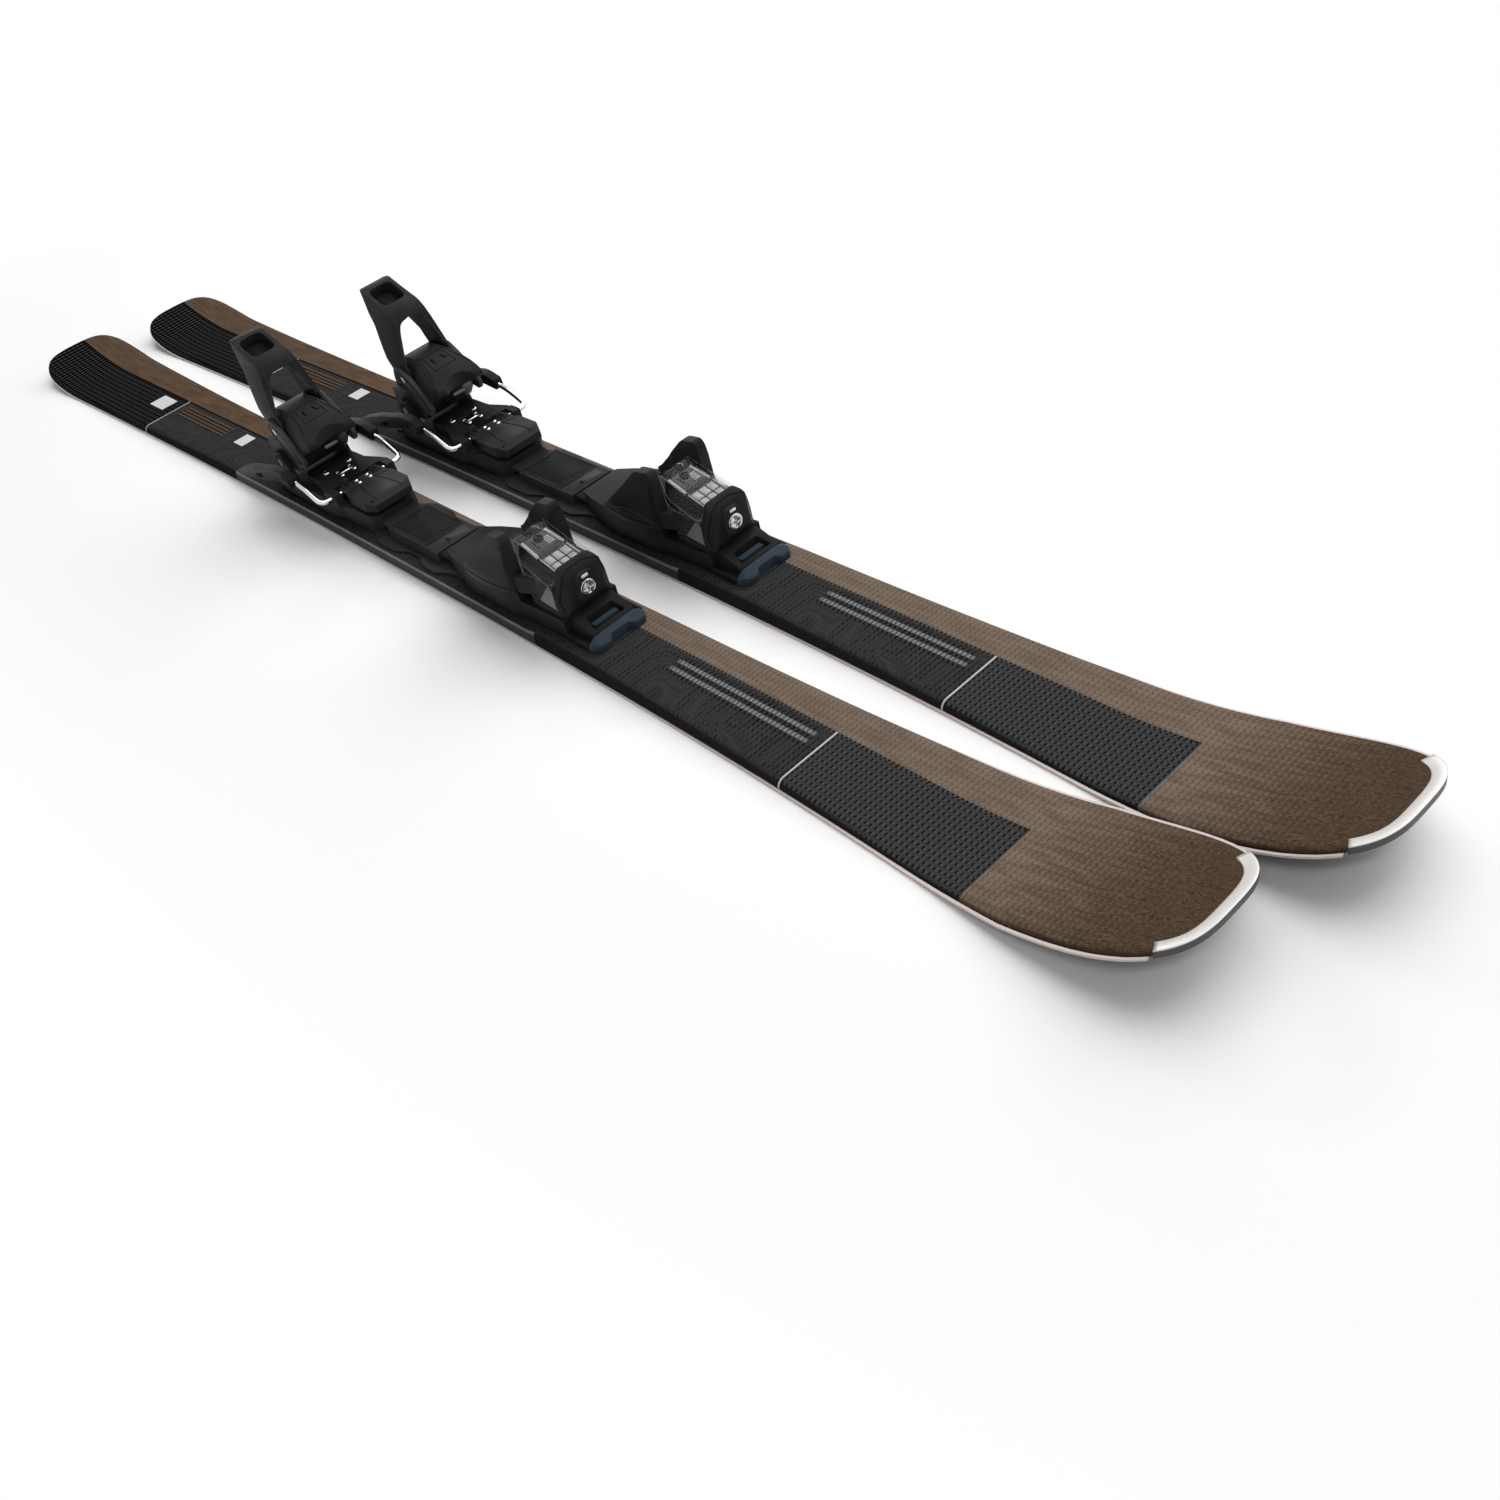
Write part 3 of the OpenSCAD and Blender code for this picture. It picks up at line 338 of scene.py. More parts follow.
def panel_print(graph, place, x, y, marks):
    """Dark panel: dark dashes and painted highlight dashes on grey in front, contour lines on charcoal with
    faint painted highlight dashes, and light cross dashes on black at the tail, painted highlights on its
    embossed scales.
    """
    hills = graph.noise(place, 5.5, 2, 0.3)
    contour = bar_mask(graph, cells(graph, hills, 0.033), 0.1, 0.3)
    thin = bar_mask(graph, cells(graph, hills, 0.009), 0.14, 0.4)
    charcoal = graph.mix(graph.times(thin, 0.32), neutral(54), neutral(32))
    # Painted highlights: light dashes on the scales, faint on charcoal and stronger in front
    charcoal = graph.mix(graph.times(marks["highlight_dash"], 0.15), charcoal, neutral(84))
    charcoal = graph.mix(graph.times(marks["dark_dash"], contour), charcoal, neutral(22))
    front = graph.mix(graph.times(marks["highlight_dash"], 0.5), neutral(58), neutral(84))
    front = graph.mix(marks["dark_dash"], front, neutral(8))
    # Painted highlights: light cross dashes on the black tail, where its embossed scales catch the light
    tail_highlight_x = bar_mask(graph, cells(graph, x, TAIL_PITCH_X), 0.32, 0.44)
    tail_highlight_y = bar_mask(graph, cells(graph, y, TAIL_PITCH_Y), 0.12, 0.32)
    tail = graph.mix(graph.times(tail_highlight_x, tail_highlight_y), neutral(4), neutral(58))
    panel = graph.mix(band(graph, y, REAR_LINE_Y, FRONT_LINE_Y), front, charcoal)
    return graph.mix(past(graph, y, REAR_LINE_Y, 1, 0), panel, tail)


def panel_marks(graph, x, y, panel, marks, dash):
    """On the panel: two broken stripes ahead of the toe, with painted shade crescents on the scales beside
    them, a dashed patch and two tiles behind the heel.
    """
    run = band(graph, y, *STRIPE_Y, 2 * MM)
    beside = graph.times(band(graph, x, *STRIPE_FIELD_X, 1 * MM), run)
    # Painted shade: the scales' crescents beside the stripes turn near black
    panel = graph.mix(graph.times(beside, marks["shade_crescent"]), panel, neutral(10))
    for centre in STRIPE_CENTRES:
        stripe = graph.times(band(graph, x, centre - STRIPE_HALF, centre + STRIPE_HALF, 0.5 * MM), run)
        panel = graph.mix(stripe, panel, graph.mix(dash, linear(72, 72, 72), linear(124, 124, 124)))
    bar = graph.times(bar_mask(graph, cells(graph, x, PATCH_PITCH), 0.26, 0.4), dash)
    rows = graph.mix(bar, neutral(8), linear(104, 86, 72))
    panel = graph.mix(field(graph, x, y, PATCH_X, PATCH_Y), panel, rows)
    for range_x, range_y in TILES:
        panel = graph.mix(field(graph, x, y, range_x, range_y, TILE_MARGIN), panel, neutral(16))
        panel = graph.mix(field(graph, x, y, range_x, range_y), panel, linear(206, 206, 205))
    return panel


def top_sheet_material():
    """Printed and embossed top sheet: brown wood beside a dark panel, with a plain rolled rim."""
    graph = Graph("top_sheet_print", Specular_IOR_Level=0.0)
    place = graph.position()
    x, y, _ = graph.split(place)
    marks = scale_marks(graph, x, y)
    dash = bar_mask(graph, cells(graph, y, DASH_PITCH), 0.24, 0.4)
    brown = wood_print(graph, place, y, marks)
    panel = panel_marks(graph, x, y, panel_print(graph, place, x, y, marks), marks, dash)
    # The rim is smooth and darker where its surface turns down from the top: black beside the panel and dark
    # brown beside the wood
    rise = graph.split(graph.node("ShaderNodeNewGeometry").outputs["Normal"])[2]
    rim = graph.remap(rise, 0.88, 0.66, smooth=True)
    panel = graph.mix(rim, panel, neutral(34))
    brown = graph.mix(graph.times(rim, 0.7), brown, linear(60, 46, 36))
    # The panel ends at the divider and short of the shovel, with a dashed border and two light cross lines
    dark_side = past(graph, x, DIVIDER_X)
    colour = graph.mix(graph.times(dark_side, past(graph, y, PANEL_END_Y, 1, 0)), brown, panel)
    border_end = graph.remap(y, PANEL_END_Y, PANEL_END_Y + PRINT_SOFT, 1, 0)
    border = graph.times(band(graph, x, *BORDER_X), border_end)
    border_dash = graph.times(dash, band(graph, y, *BORDER_DASH_Y, 30 * MM))
    colour = graph.mix(border, colour, graph.mix(border_dash, neutral(12), linear(70, 71, 72)))
    for line_y in (REAR_LINE_Y, FRONT_LINE_Y):
        line = graph.times(band(graph, y, line_y - LINE_HALF, line_y + LINE_HALF), dark_side)
        colour = graph.mix(line, colour, linear(190, 190, 188))
    fine = graph.noise(place, 1500, 2)
    relief = graph.times(marks["height"], graph.remap(rim, 0, 1, 1, 0))
    graph.set(Base_Color=colour)
    graph.set(Roughness=graph.remap(marks["height"], 0, 1, 0.6, 0.46))
    graph.set(Normal=graph.bump(relief, 0.4 * MM, 0.5, graph.bump(fine, 0.1 * MM, 0.2)))
    return graph.material


def clear_plastic(name):
    """Clear cover: mostly see-through, with faint flow lines in its gloss."""
    graph = Graph(name, Alpha=0.14, Specular_IOR_Level=0.6)
    flow = graph.noise(graph.stretched(graph.position(), (40, 160, 40)), 6, 2)
    graph.set(Base_Color=graph.mix(flow, (0.004, 0.004, 0.005, 1), (0.02, 0.02, 0.022, 1)))
    graph.set(Roughness=graph.remap(flow, 0.3, 0.7, 0.05, 0.14))
    graph.set(Normal=graph.bump(flow, 0.2 * MM, 0.06))
    return graph.material


MATERIALS = {
    "top_sheet": top_sheet_material(),
    "sidewall": plastic("sidewall_black", linear(52, 53, 54), 0.42, 0.06),
    "side_line": plastic("sidewall_bevel", linear(112, 112, 111), 0.4, 0.05),
    "base": plastic("running_base_black", linear(34, 34, 36), 0.35, 0.1, 900),
    "edge_steel": metal("edge_steel", linear(205, 191, 185), 0.4, (40, 400, 400), 0.05, 0.15),
    "guard_metal": metal("guard_brushed", linear(196, 193, 190), 0.38, (300, 300, 900), 0.1, 0.7),
    # Darker copy of the guard's metal for its sides: painted shade
    "guard_side": metal("guard_side_painted_shade", linear(70, 69, 68), 0.5, (300, 300, 900), 0.1, 0.2),
    "chrome": metal("chrome_bright", linear(206, 206, 206), 0.14, (80, 80, 80), 0.03),
    "steel": metal("steel_plain", linear(168, 170, 172), 0.35),
    "silver": metal("deck_silver", linear(220, 221, 222), 0.4, (300, 90, 90), 0.05, 0.25),
    "wood": plastic("core_wood", linear(198, 162, 108), 0.6, 0.2, 300),
    # Each _edge material is a lighter copy that the rounded edges take: a painted highlight
    "plastic": plastic("binding_black", neutral(41), 0.36),
    "plastic_edge": plastic("binding_black_edge_highlight", neutral(58), 0.34),
    "plastic_deep": plastic("binding_deep_black", neutral(32), 0.4),
    "plastic_deep_edge": plastic("binding_deep_black_edge_highlight", neutral(48), 0.36),
    "plastic_grey": plastic("binding_grey", neutral(62), 0.36),
    "plastic_grey_edge": plastic("binding_grey_edge_highlight", neutral(78), 0.34),
    "plastic_light": plastic("window_grey", linear(112, 112, 114), 0.3, 0.05),
    "rail": plastic("rail_grey", neutral(42), 0.4),
    "rail_edge": plastic("rail_grey_edge_highlight", neutral(58), 0.38),
    "trim": plastic("trim_blue_grey", linear(54, 64, 73), 0.4),
    "trim_edge": plastic("trim_blue_grey_edge_highlight", linear(76, 88, 99), 0.38),
    "seam": plastic("seam_dark", neutral(16), 0.7),
    "white": plastic("mark_white", linear(232, 232, 230), 0.4, 0.05),
    "clear": clear_plastic("cover_clear"),
    # Light rounded edges of the clear cover: painted highlight
    "clear_edge": plastic("cover_edge_highlight", linear(176, 178, 180), 0.25, 0.04),
}


# Shape of a ski
def half_width(y):
    if y > SHOVEL_Y:
        part = min(1, (y - SHOVEL_Y) / (TIP_Y - SHOVEL_Y))
        return SHOVEL_W / 2 * (1 - part ** TIP_BLUNT) ** (1 / TIP_BLUNT)
    if y > WAIST_Y:
        return WAIST_W / 2 + (SHOVEL_W - WAIST_W) / 2 * ((y - WAIST_Y) / (SHOVEL_Y - WAIST_Y)) ** 3
    if y > HEEL_WIDE_Y:
        return WAIST_W / 2 + (TAIL_W - WAIST_W) / 2 * ((WAIST_Y - y) / (WAIST_Y - HEEL_WIDE_Y)) ** 2
    part = min(1, (HEEL_WIDE_Y - y) / (HEEL_WIDE_Y - TAIL_Y))
    return TAIL_W / 2 * (1 - part ** TAIL_BLUNT) ** (1 / TAIL_BLUNT)


def base_z(y):
    if y > FRONT_CONTACT_Y:
        return TIP_RISE * ((y - FRONT_CONTACT_Y) / (TIP_Y - FRONT_CONTACT_Y)) ** 2
    if y < REAR_CONTACT_Y:
        return TAIL_RISE * ((REAR_CONTACT_Y - y) / (REAR_CONTACT_Y - TAIL_Y)) ** 2
    return 0


def thickness(y):
    contact = FRONT_CONTACT_Y if y > 0 else -REAR_CONTACT_Y
    taper = min(1, max(0, abs(y) - PLATFORM_HALF) / (contact - PLATFORM_HALF))
    return MID_T - (MID_T - END_T) * taper


def stations(side_steps=180, end_steps=40):
    """Lengthwise stations from the tail to the tip, closer together round the ends."""
    quarter = [math.pi / 2 * i / end_steps for i in range(end_steps + 1)]
    ys = [HEEL_WIDE_Y - (HEEL_WIDE_Y - TAIL_Y) * math.cos(angle) for angle in quarter[:-1]]
    ys += [HEEL_WIDE_Y + (SHOVEL_Y - HEEL_WIDE_Y) * i / side_steps for i in range(side_steps)]
    ys += [SHOVEL_Y + (TIP_Y - SHOVEL_Y) * math.sin(angle) for angle in quarter]
    return ys


def outline(ys):
    """Points of the right half of the plan, with their outward normals."""
    points = [Vector((half_width(y), y)) for y in ys]
    normals = []
    for i in range(len(points)):
        step = points[min(i + 1, len(points) - 1)] - points[max(i - 1, 0)]
        normals.append(Vector((step.y, -step.x)).normalized())
    normals[0] = Vector((0, -1))
    normals[-1] = Vector((0, 1))
    return list(zip(points, normals))


def mesh_from(name, vertices, faces, slots=None):
    """Mesh of those faces, welded and turned outwards, each with its material slot."""
    mesh = bpy.data.meshes.new(name)
    mesh.from_pydata(vertices, [], faces)
    mesh.polygons.foreach_set("material_index", slots or [0] * len(faces))
    work = bmesh.new()
    work.from_mesh(mesh)
    bmesh.ops.remove_doubles(work, verts=work.verts, dist=WELD)
    bmesh.ops.recalc_face_normals(work, faces=work.faces)
    for face in work.faces:
        face.smooth = True
    work.to_mesh(mesh)
    work.free()
    return mesh


def skin_faces(turns, count):
    """Faces between rings of that many points each."""
    return [(i * count + j, i * count + (j + 1) % count,
             (i + 1) * count + (j + 1) % count, (i + 1) * count + j)
            for i in range(turns - 1) for j in range(count)]


def end_faces(turns, count):
    """Caps on the first and the last ring."""
    return [tuple(range(count)), tuple(range((turns - 1) * count, turns * count))]


def half_section(point, normal):
    """Right half of the top sheet's section at a point of the outline, and the sidewall's share in it."""
    height = thickness(point.y) - BASE_T
    cap_in = CAP_IN_TAIL + (CAP_IN - CAP_IN_TAIL) * smoothstep(TAIL_Y, TAIL_Y + CAP_GROWTH, point.y)
    walled = smoothstep(*WALL_START_Y, point.y) * (1 - smoothstep(*WALL_END_Y, point.y))
    half = []
    for k, (wall_in, wall_drop) in enumerate(WALL_PROFILE):
        angle = math.pi / 2 * k / (len(WALL_PROFILE) - 1)
        inset = EDGE_LEDGE + (1 - walled) * cap_in * (1 - math.cos(angle)) + walled * wall_in
        drop = height * ((1 - walled) * (1 - math.sin(angle)) + walled * wall_drop)
        at = point - normal * inset
        at.x = max(0, at.x)
        half.append(Vector((at.x, at.y, base_z(at.y) + thickness(at.y) - drop)))
    return half, walled


def ski_top_mesh():
    """Top sheet with its shoulders: a rounded cap at the ends and sidewalls under the binding."""
    count = 2 * len(WALL_PROFILE) + TOP_STRIPS - 1
    vertices = []
    shares = []
    for point, normal in outline(stations()):
        half, walled = half_section(point, normal)
        top = half[-1]
        middle = [Vector((top.x * (1 - 2 * j / TOP_STRIPS), top.y, top.z)) for j in range(1, TOP_STRIPS)]
        other = [Vector((-at.x, at.y, at.z)) for at in reversed(half)]
        vertices += half + middle + other
        shares.append(walled)
    slots = []
    for before, after in zip(shares, shares[1:]):
        for j in range(count):
            step = min(j, count - 2 - j) if min(before, after) > WALL_SHARE else None
            slots.append(WALL if step in WALL_STEPS else BEVEL if step in BEVEL_STEPS else TOP)
    return mesh_from("ski_top", vertices, skin_faces(len(shares), count), slots)


def tip_guard_mesh():
    """Metal band round the tip, with a crowned top and a square side."""
    reach = [(point, normal) for point, normal in outline(stations()) if point.y >= GUARD_END_Y]
    path = reach + [(Vector((-p.x, p.y)), Vector((-n.x, n.y))) for p, n in reversed(reach[:-1])]
    shoulder = GUARD_PROUD - 0.3 * GUARD_LIP
    # Each point has an inset, a share of the ski's thickness, and what is added to it
    profile = [(0, 0, 0), (0, 1, GUARD_PROUD - GUARD_LIP), (0.15 * GUARD_LIP, 1, shoulder),
               (GUARD_LIP, 1, GUARD_PROUD), (GUARD_W - GUARD_LIP, 1, GUARD_PROUD),
               (GUARD_W - 0.2 * GUARD_LIP, 1, shoulder), (GUARD_W, 1, 0), (GUARD_W, 0, 0)]
    vertices = []
    for point, normal in path:
        for inset, full, extra in profile:
            at = point - normal * inset
            vertices.append((at.x, at.y, base_z(at.y) + full * thickness(at.y) + extra))
    turns = len(path)
    count = len(profile)
    faces = skin_faces(turns, count) + end_faces(turns, count)
    # The guard's outer and inner sides, its underside and its ends take the darker side material, painted
    # shade
    slots = [0 if 1 <= j < count - 2 else 1 for i in range(turns - 1) for j in range(count)]
    return mesh_from("tip_guard", vertices, faces, slots + [1, 1])


# Outlines and paths of the details, in millimetres
PLAN = Matrix.Identity(3)
SIDE = Matrix(((0, 0, 1), (1, 0, 0), (0, 1, 0)))
FRONT = Matrix(((1, 0, 0), (0, 0, -1), (0, 1, 0)))
CORNER_SHARE = 0.48
SEAM_R = 0.4
RIB_PITCH = 2.6
PATCH_DEPTH = 0.8
DROP_FROM = 200


def bent(path, reach, steps=6, closed=False):
    """A path whose corners are rounded, starting up to that far from each corner."""
    points = [Vector(point) for point in path]
    count = len(points)
    made = []
    for i, at in enumerate(points):
        if not closed and i in (0, count - 1):
            made.append(at)
            continue
        before = points[i - 1] - at
        after = points[(i + 1) % count] - at
        start = before.normalized() * min(reach, CORNER_SHARE * before.length)
        end = after.normalized() * min(reach, CORNER_SHARE * after.length)
        made += [at + start * (1 - k / steps) ** 2 + end * (k / steps) ** 2 for k in range(steps + 1)]
    return made


def rounded(outline, reach):
    return bent(outline, reach, 4, True)


def rectangle(x0, y0, x1, y1, reach):
    return rounded([(x0, y0), (x1, y0), (x1, y1), (x0, y1)], reach)


def mirrored(half):
    """A half outline closed by its mirror image."""
    return list(half) + [(-point[0], *point[1:]) for point in reversed(half)]


def clipped(outline, low, high):
    """Part of an outline whose y lies between low and high."""
    for limit, sign in ((low, 1), (high, -1)):
        kept = []
        for a, b in zip(outline, outline[1:] + outline[:1]):
            inside_a = sign * (a[1] - limit) >= 0
            inside_b = sign * (b[1] - limit) >= 0
            if inside_a:
                kept.append(a)
            if inside_a != inside_b:
                part = (limit - a[1]) / (b[1] - a[1])
                kept.append((a[0] + part * (b[0] - a[0]), limit))
        outline = kept
    return outline


def stood(origin, tilt=0):
    """Place of a detail: turned about the cross axis by a tilt in degrees, then moved to its origin."""
    return Matrix.Translation(origin) @ Matrix.Rotation(math.radians(tilt), 4, "X")


class Shape:
    """Closed forms gathered into one piece, in millimetres from an origin in the ski's frame.

    Lines and panels are laid on the skin of a dressed node.
    """

    def __init__(self, origin=(0, 0, 0), node=None):
        self.origin = Vector(origin)
        self.skin = Skin(CARVED[node], origin) if node else None
        self.vertices = []
        self.faces = []
        self.slots = []

    def add(self, points, faces, slot):
        first = len(self.vertices)
        self.vertices += [(self.origin + Vector(point)) * MM for point in points]
        self.faces += [[first + index for index in face] for face in faces]
        self.slots += [slot] * len(faces)

    def rings(self, points, count, slot, closed=False):
        """Skin over rings of that many points each, capped at both ends."""
        turns = len(points) // count
        faces = skin_faces(turns, count)
        if closed:
            last = (turns - 1) * count
            faces += [(last + j, last + (j + 1) % count, (j + 1) % count, j) for j in range(count)]
        else:
            faces += end_faces(turns, count)
        self.add(points, faces, slot)

    def prism(self, outline, low, high, view=PLAN, slot=0, place=Matrix.Identity(4), shrink=0):
        """Solid with that outline in that view, from low to high; shrink draws its high end in."""
        middle = sum((Vector(point) for point in outline), Vector((0, 0))) / len(outline)
        points = []
        for level, share in ((low, 0), (high, shrink)):
            for point in outline:
                at = Vector(point).lerp(middle, share)
                points.append(place @ (view @ Vector((at.x, at.y, level))))
        self.rings(points, len(outline), slot)

    def tube(self, path, radius, sides=20, slot=0, closed=False):
        path = [Vector(point) for point in path]
        last = len(path) - 1
        points = []
        side = None
        for i, at in enumerate(path):
            before = path[i - 1] if closed or i else at
            after = path[(i + 1) % (last + 1)] if closed or i < last else at
            ahead = (after - before).normalized()
            side = ahead.orthogonal() if side is None else side - ahead * side.dot(ahead)
            side.normalize()
            rise = ahead.cross(side)
            for k in range(sides):
                angle = 2 * math.pi * k / sides
                points.append(at + radius * (side * math.cos(angle) + rise * math.sin(angle)))
        self.rings(points, sides, slot, closed)

    def lathe(self, profile, place=Matrix.Identity(4), turns=28, slot=0):
        """Turned form: profile points are (radius, height) along the place's z axis."""
        angles = [2 * math.pi * k / turns for k in range(turns)]
        points = [place @ Vector((radius * math.cos(angle), radius * math.sin(angle), height))
                  for radius, height in profile for angle in angles]
        self.rings(points, turns, slot)

    def seam(self, path, direction, radius=SEAM_R, slot=0, closed=False):
        """Thin line laid on the skin."""
        laid = self.skin.laid(path, direction, closed)
        if len(laid) > 2:
            self.tube(laid, radius, 8, slot, closed)

    def patch(self, corners, direction, proud=0.3, slot=0, steps=10):
        """Thin panel between four corners, laid on the skin."""
        first, second, third, fourth = (Vector(corner) for corner in corners)
        direction = Vector(direction).normalized()
        grid = []
        for i in range(steps + 1):
            for j in range(steps + 1):
                point = first.lerp(second, i / steps).lerp(fourth.lerp(third, i / steps), j / steps)
                grid.append(self.skin.drop(point, direction))
        count = steps + 1
        cells = [(i * count + j, (i + 1) * count + j, (i + 1) * count + j + 1, i * count + j + 1)
                 for i in range(steps) for j in range(steps)]
        cells = [cell for cell in cells if all(grid[k] for k in cell)]
        number = {k: n for n, k in enumerate(sorted({k for cell in cells for k in cell}))}
        size = len(number)
        points = [grid[k] - direction * proud for k in number]
        points += [grid[k] + direction * PATCH_DEPTH for k in number]
        rims = {}
        for cell in cells:
            for a, b in zip(cell, cell[1:] + cell[:1]):
                rims[frozenset((a, b))] = None if frozenset((a, b)) in rims else (a, b)
        faces = [[number[k] for k in cell] for cell in cells]
        faces += [[size + number[k] for k in reversed(cell)] for cell in cells]
        faces += [(number[b], number[a], size + number[a], size + number[b])
                  for a, b in filter(None, rims.values())]
        if faces:
            self.add(points, faces, slot)

    def mesh(self, name):
        return mesh_from(name, self.vertices, self.faces, slots=self.slots)


class Skin:
    """Surface of a mesh in millimetres from an origin, to lay lines and panels on."""

    def __init__(self, mesh, origin):
        points = [vertex.co / MM - Vector(origin) for vertex in mesh.vertices]
        self.tree = BVHTree.FromPolygons(points, [tuple(face.vertices) for face in mesh.polygons])

    def drop(self, point, direction):
        direction = Vector(direction).normalized()
        return self.tree.ray_cast(Vector(point) - direction * DROP_FROM, direction)[0]

    def laid(self, path, direction, closed=False, step=1.5):
        """The path cut into short steps, each dropped on the skin; places that miss are left out."""
        ends = [Vector(point) for point in path]
        made = []
        for start, end in zip(ends, ends[1:] + ends[:1] if closed else ends[1:]):
            parts = max(1, round((end - start).length / step))
            made += [self.drop(start.lerp(end, k / parts), direction) for k in range(parts)]
        if not closed:
            made.append(self.drop(ends[-1], direction))
        return [point for point in made if point]


def add_object(name, data):
    made = bpy.data.objects.new(name, data)
    bpy.context.scene.collection.objects.link(made)
    return made


# Pieces are made once and placed on both skis
def add_piece(kind, mesh, body, materials, nodes=(), bevel=0, segments=2):
    """Place a mesh on both skis, riding on that body, in the stead of the named nodes."""
    for name in materials:
        mesh.materials.append(MATERIALS[name])
    for side in SIDES:
        piece = add_object(f"{side}_{kind}_dressed", mesh)
        piece.location = ORIGIN[side]
        if bevel:
            rounding = piece.modifiers.new("rounding", "BEVEL")
            rounding.width = bevel
            rounding.segments = segments
            rounding.limit_method = "ANGLE"
            rounding.angle_limit = math.radians(BEVEL_ANGLE)
            rounding.harden_normals = True
            # The rounded faces take the last material; for dressed nodes that is the lighter edge material, a
            # painted highlight, where there is one
            rounding.material = len(materials) - 1
        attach(piece, f"{side}_{body}")
        if nodes:
            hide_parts(*[f"{side}_{node}" for node in nodes])


def carved(node):
    """A copy of a node's mesh in the ski's frame, welded and with its flat faces whole."""
    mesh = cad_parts[f"right_{node}"].data.copy()
    mesh.transform(Matrix.Translation(-ORIGIN["right"]))
    work = bmesh.new()
    work.from_mesh(mesh)
    bmesh.ops.remove_doubles(work, verts=work.verts, dist=CAD_WELD)
    bmesh.ops.dissolve_limit(work, angle_limit=math.radians(FLAT_ANGLE), verts=work.verts, edges=work.edges)
    for face in work.faces:
        face.smooth = True
        face.material_index = 0
    plain = bpy.data.meshes.new(node)
    work.to_mesh(plain)
    work.free()
    bpy.data.meshes.remove(mesh)
    return plain


CARVED = {}
BACK = (0, -1, 0)
DOWN = (0, 0, -1)


def dress(node, body, material, bevel, segments=3):
    """Put a rounded copy in a node's stead; its rounded edges take the lighter edge material, a painted
    highlight, if there is one.
    """
    CARVED[node] = carved(node)
    materials = [name for name in (material, f"{material}_edge") if name in MATERIALS]
    add_piece(node, CARVED[node], body, materials, [node], bevel, segments)


def keep(node, material):
    """Leave a node's shape as it is and give it a better material."""
    for side in SIDES:
        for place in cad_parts[f"{side}_{node}"].material_slots:
            place.link = "OBJECT"
            place.material = MATERIALS[material]


add_piece("ski_top", ski_top_mesh(), "ski", ["top_sheet", "sidewall", "side_line"],
          ["top_sheet", "sidewalls"])
add_piece("tip_guard", tip_guard_mesh(), "ski", ["guard_metal", "guard_side"], ["tip_guard"])
keep("running_base", "base")
keep("steel_edges", "edge_steel")
keep("wood_core", "wood")
for node in ("rail_screws", "wing_pins", "toe_plunger", "heel_pins", "heel_spring", "heel_screw"):
    keep(node, "steel")

# Node, the body that it rides on, material, and rounding in millimetres
DRESSED = [
    ("rail", "ski", "rail", 0.7),
    ("toe_carriage", "toe", "plastic_deep", 1.2),
    ("toe_trim", "toe", "trim", 0.6),
    ("toe_housing", "toe", "plastic", 1.4),
    ("toe_cover", "toe", "clear", 0.5),
    ("toe_outer_wing", "toe_outer_wing", "plastic", 1.6),
    ("toe_inner_wing", "toe_inner_wing", "plastic", 1.6),
    ("toe_screw", "toe_screw", "chrome", 0.5),
    ("slide_plate", "slide_plate", "plastic_grey", 0.8),
    ("heel_carriage", "heel", "plastic", 1.0),
    ("heel_housing", "heel_jaw", "plastic", 2.0),
    ("heel_cheeks", "heel_jaw", "plastic_grey", 0.9),
    ("heel_lever", "heel_lever", "plastic", 1.6),
    ("brake_plate", "heel", "plastic_deep", 1.0),
    ("brake_pad", "brake", "plastic", 1.4),
    ("brake_tips", "brake", "plastic_deep", 0.8),
]
for node, body, material, bevel in DRESSED:
    dress(node, body, material, bevel * MM)

# The toe springs shorten towards their front ends as the plungers push; here each spring only gets a mesh of
# its own
dress("toe_spring", "toe", "steel", 0)
for side in SIDES:
    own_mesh(bpy.data.objects[f"{side}_toe_spring_dressed"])


def half_span(node):
    """Half the width of a node, in millimetres."""
    low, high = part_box(f"right_{node}")
    return (high.x - low.x) / 2 / MM


# Details of the heel and the brake, in millimetres from the heel end of the boot sole
BRAKE_Y = 37
BRAKE_Z = -3
WIRE_R = 2.6
WIRE_BEND = 9
WIRE_HALF = half_span("brake_wire") - WIRE_R
TIP_OUT = half_span("brake_tips")
CHEEK_OUT = half_span("heel_cheeks")
LEVER_TILT = -22


def brake_wire():
    """Bright wire: cross rod, a bend on each side, a steep stretch and a flatter one into the tip."""
    shape = Shape(HEEL)
    arm = [(WIRE_HALF, -24, 13.3), (WIRE_HALF, 10, 7.9), (WIRE_HALF, BRAKE_Y, BRAKE_Z)]
    shape.tube(bent(mirrored(arm), WIRE_BEND), WIRE_R)
    return shape.mesh("brake_wire")


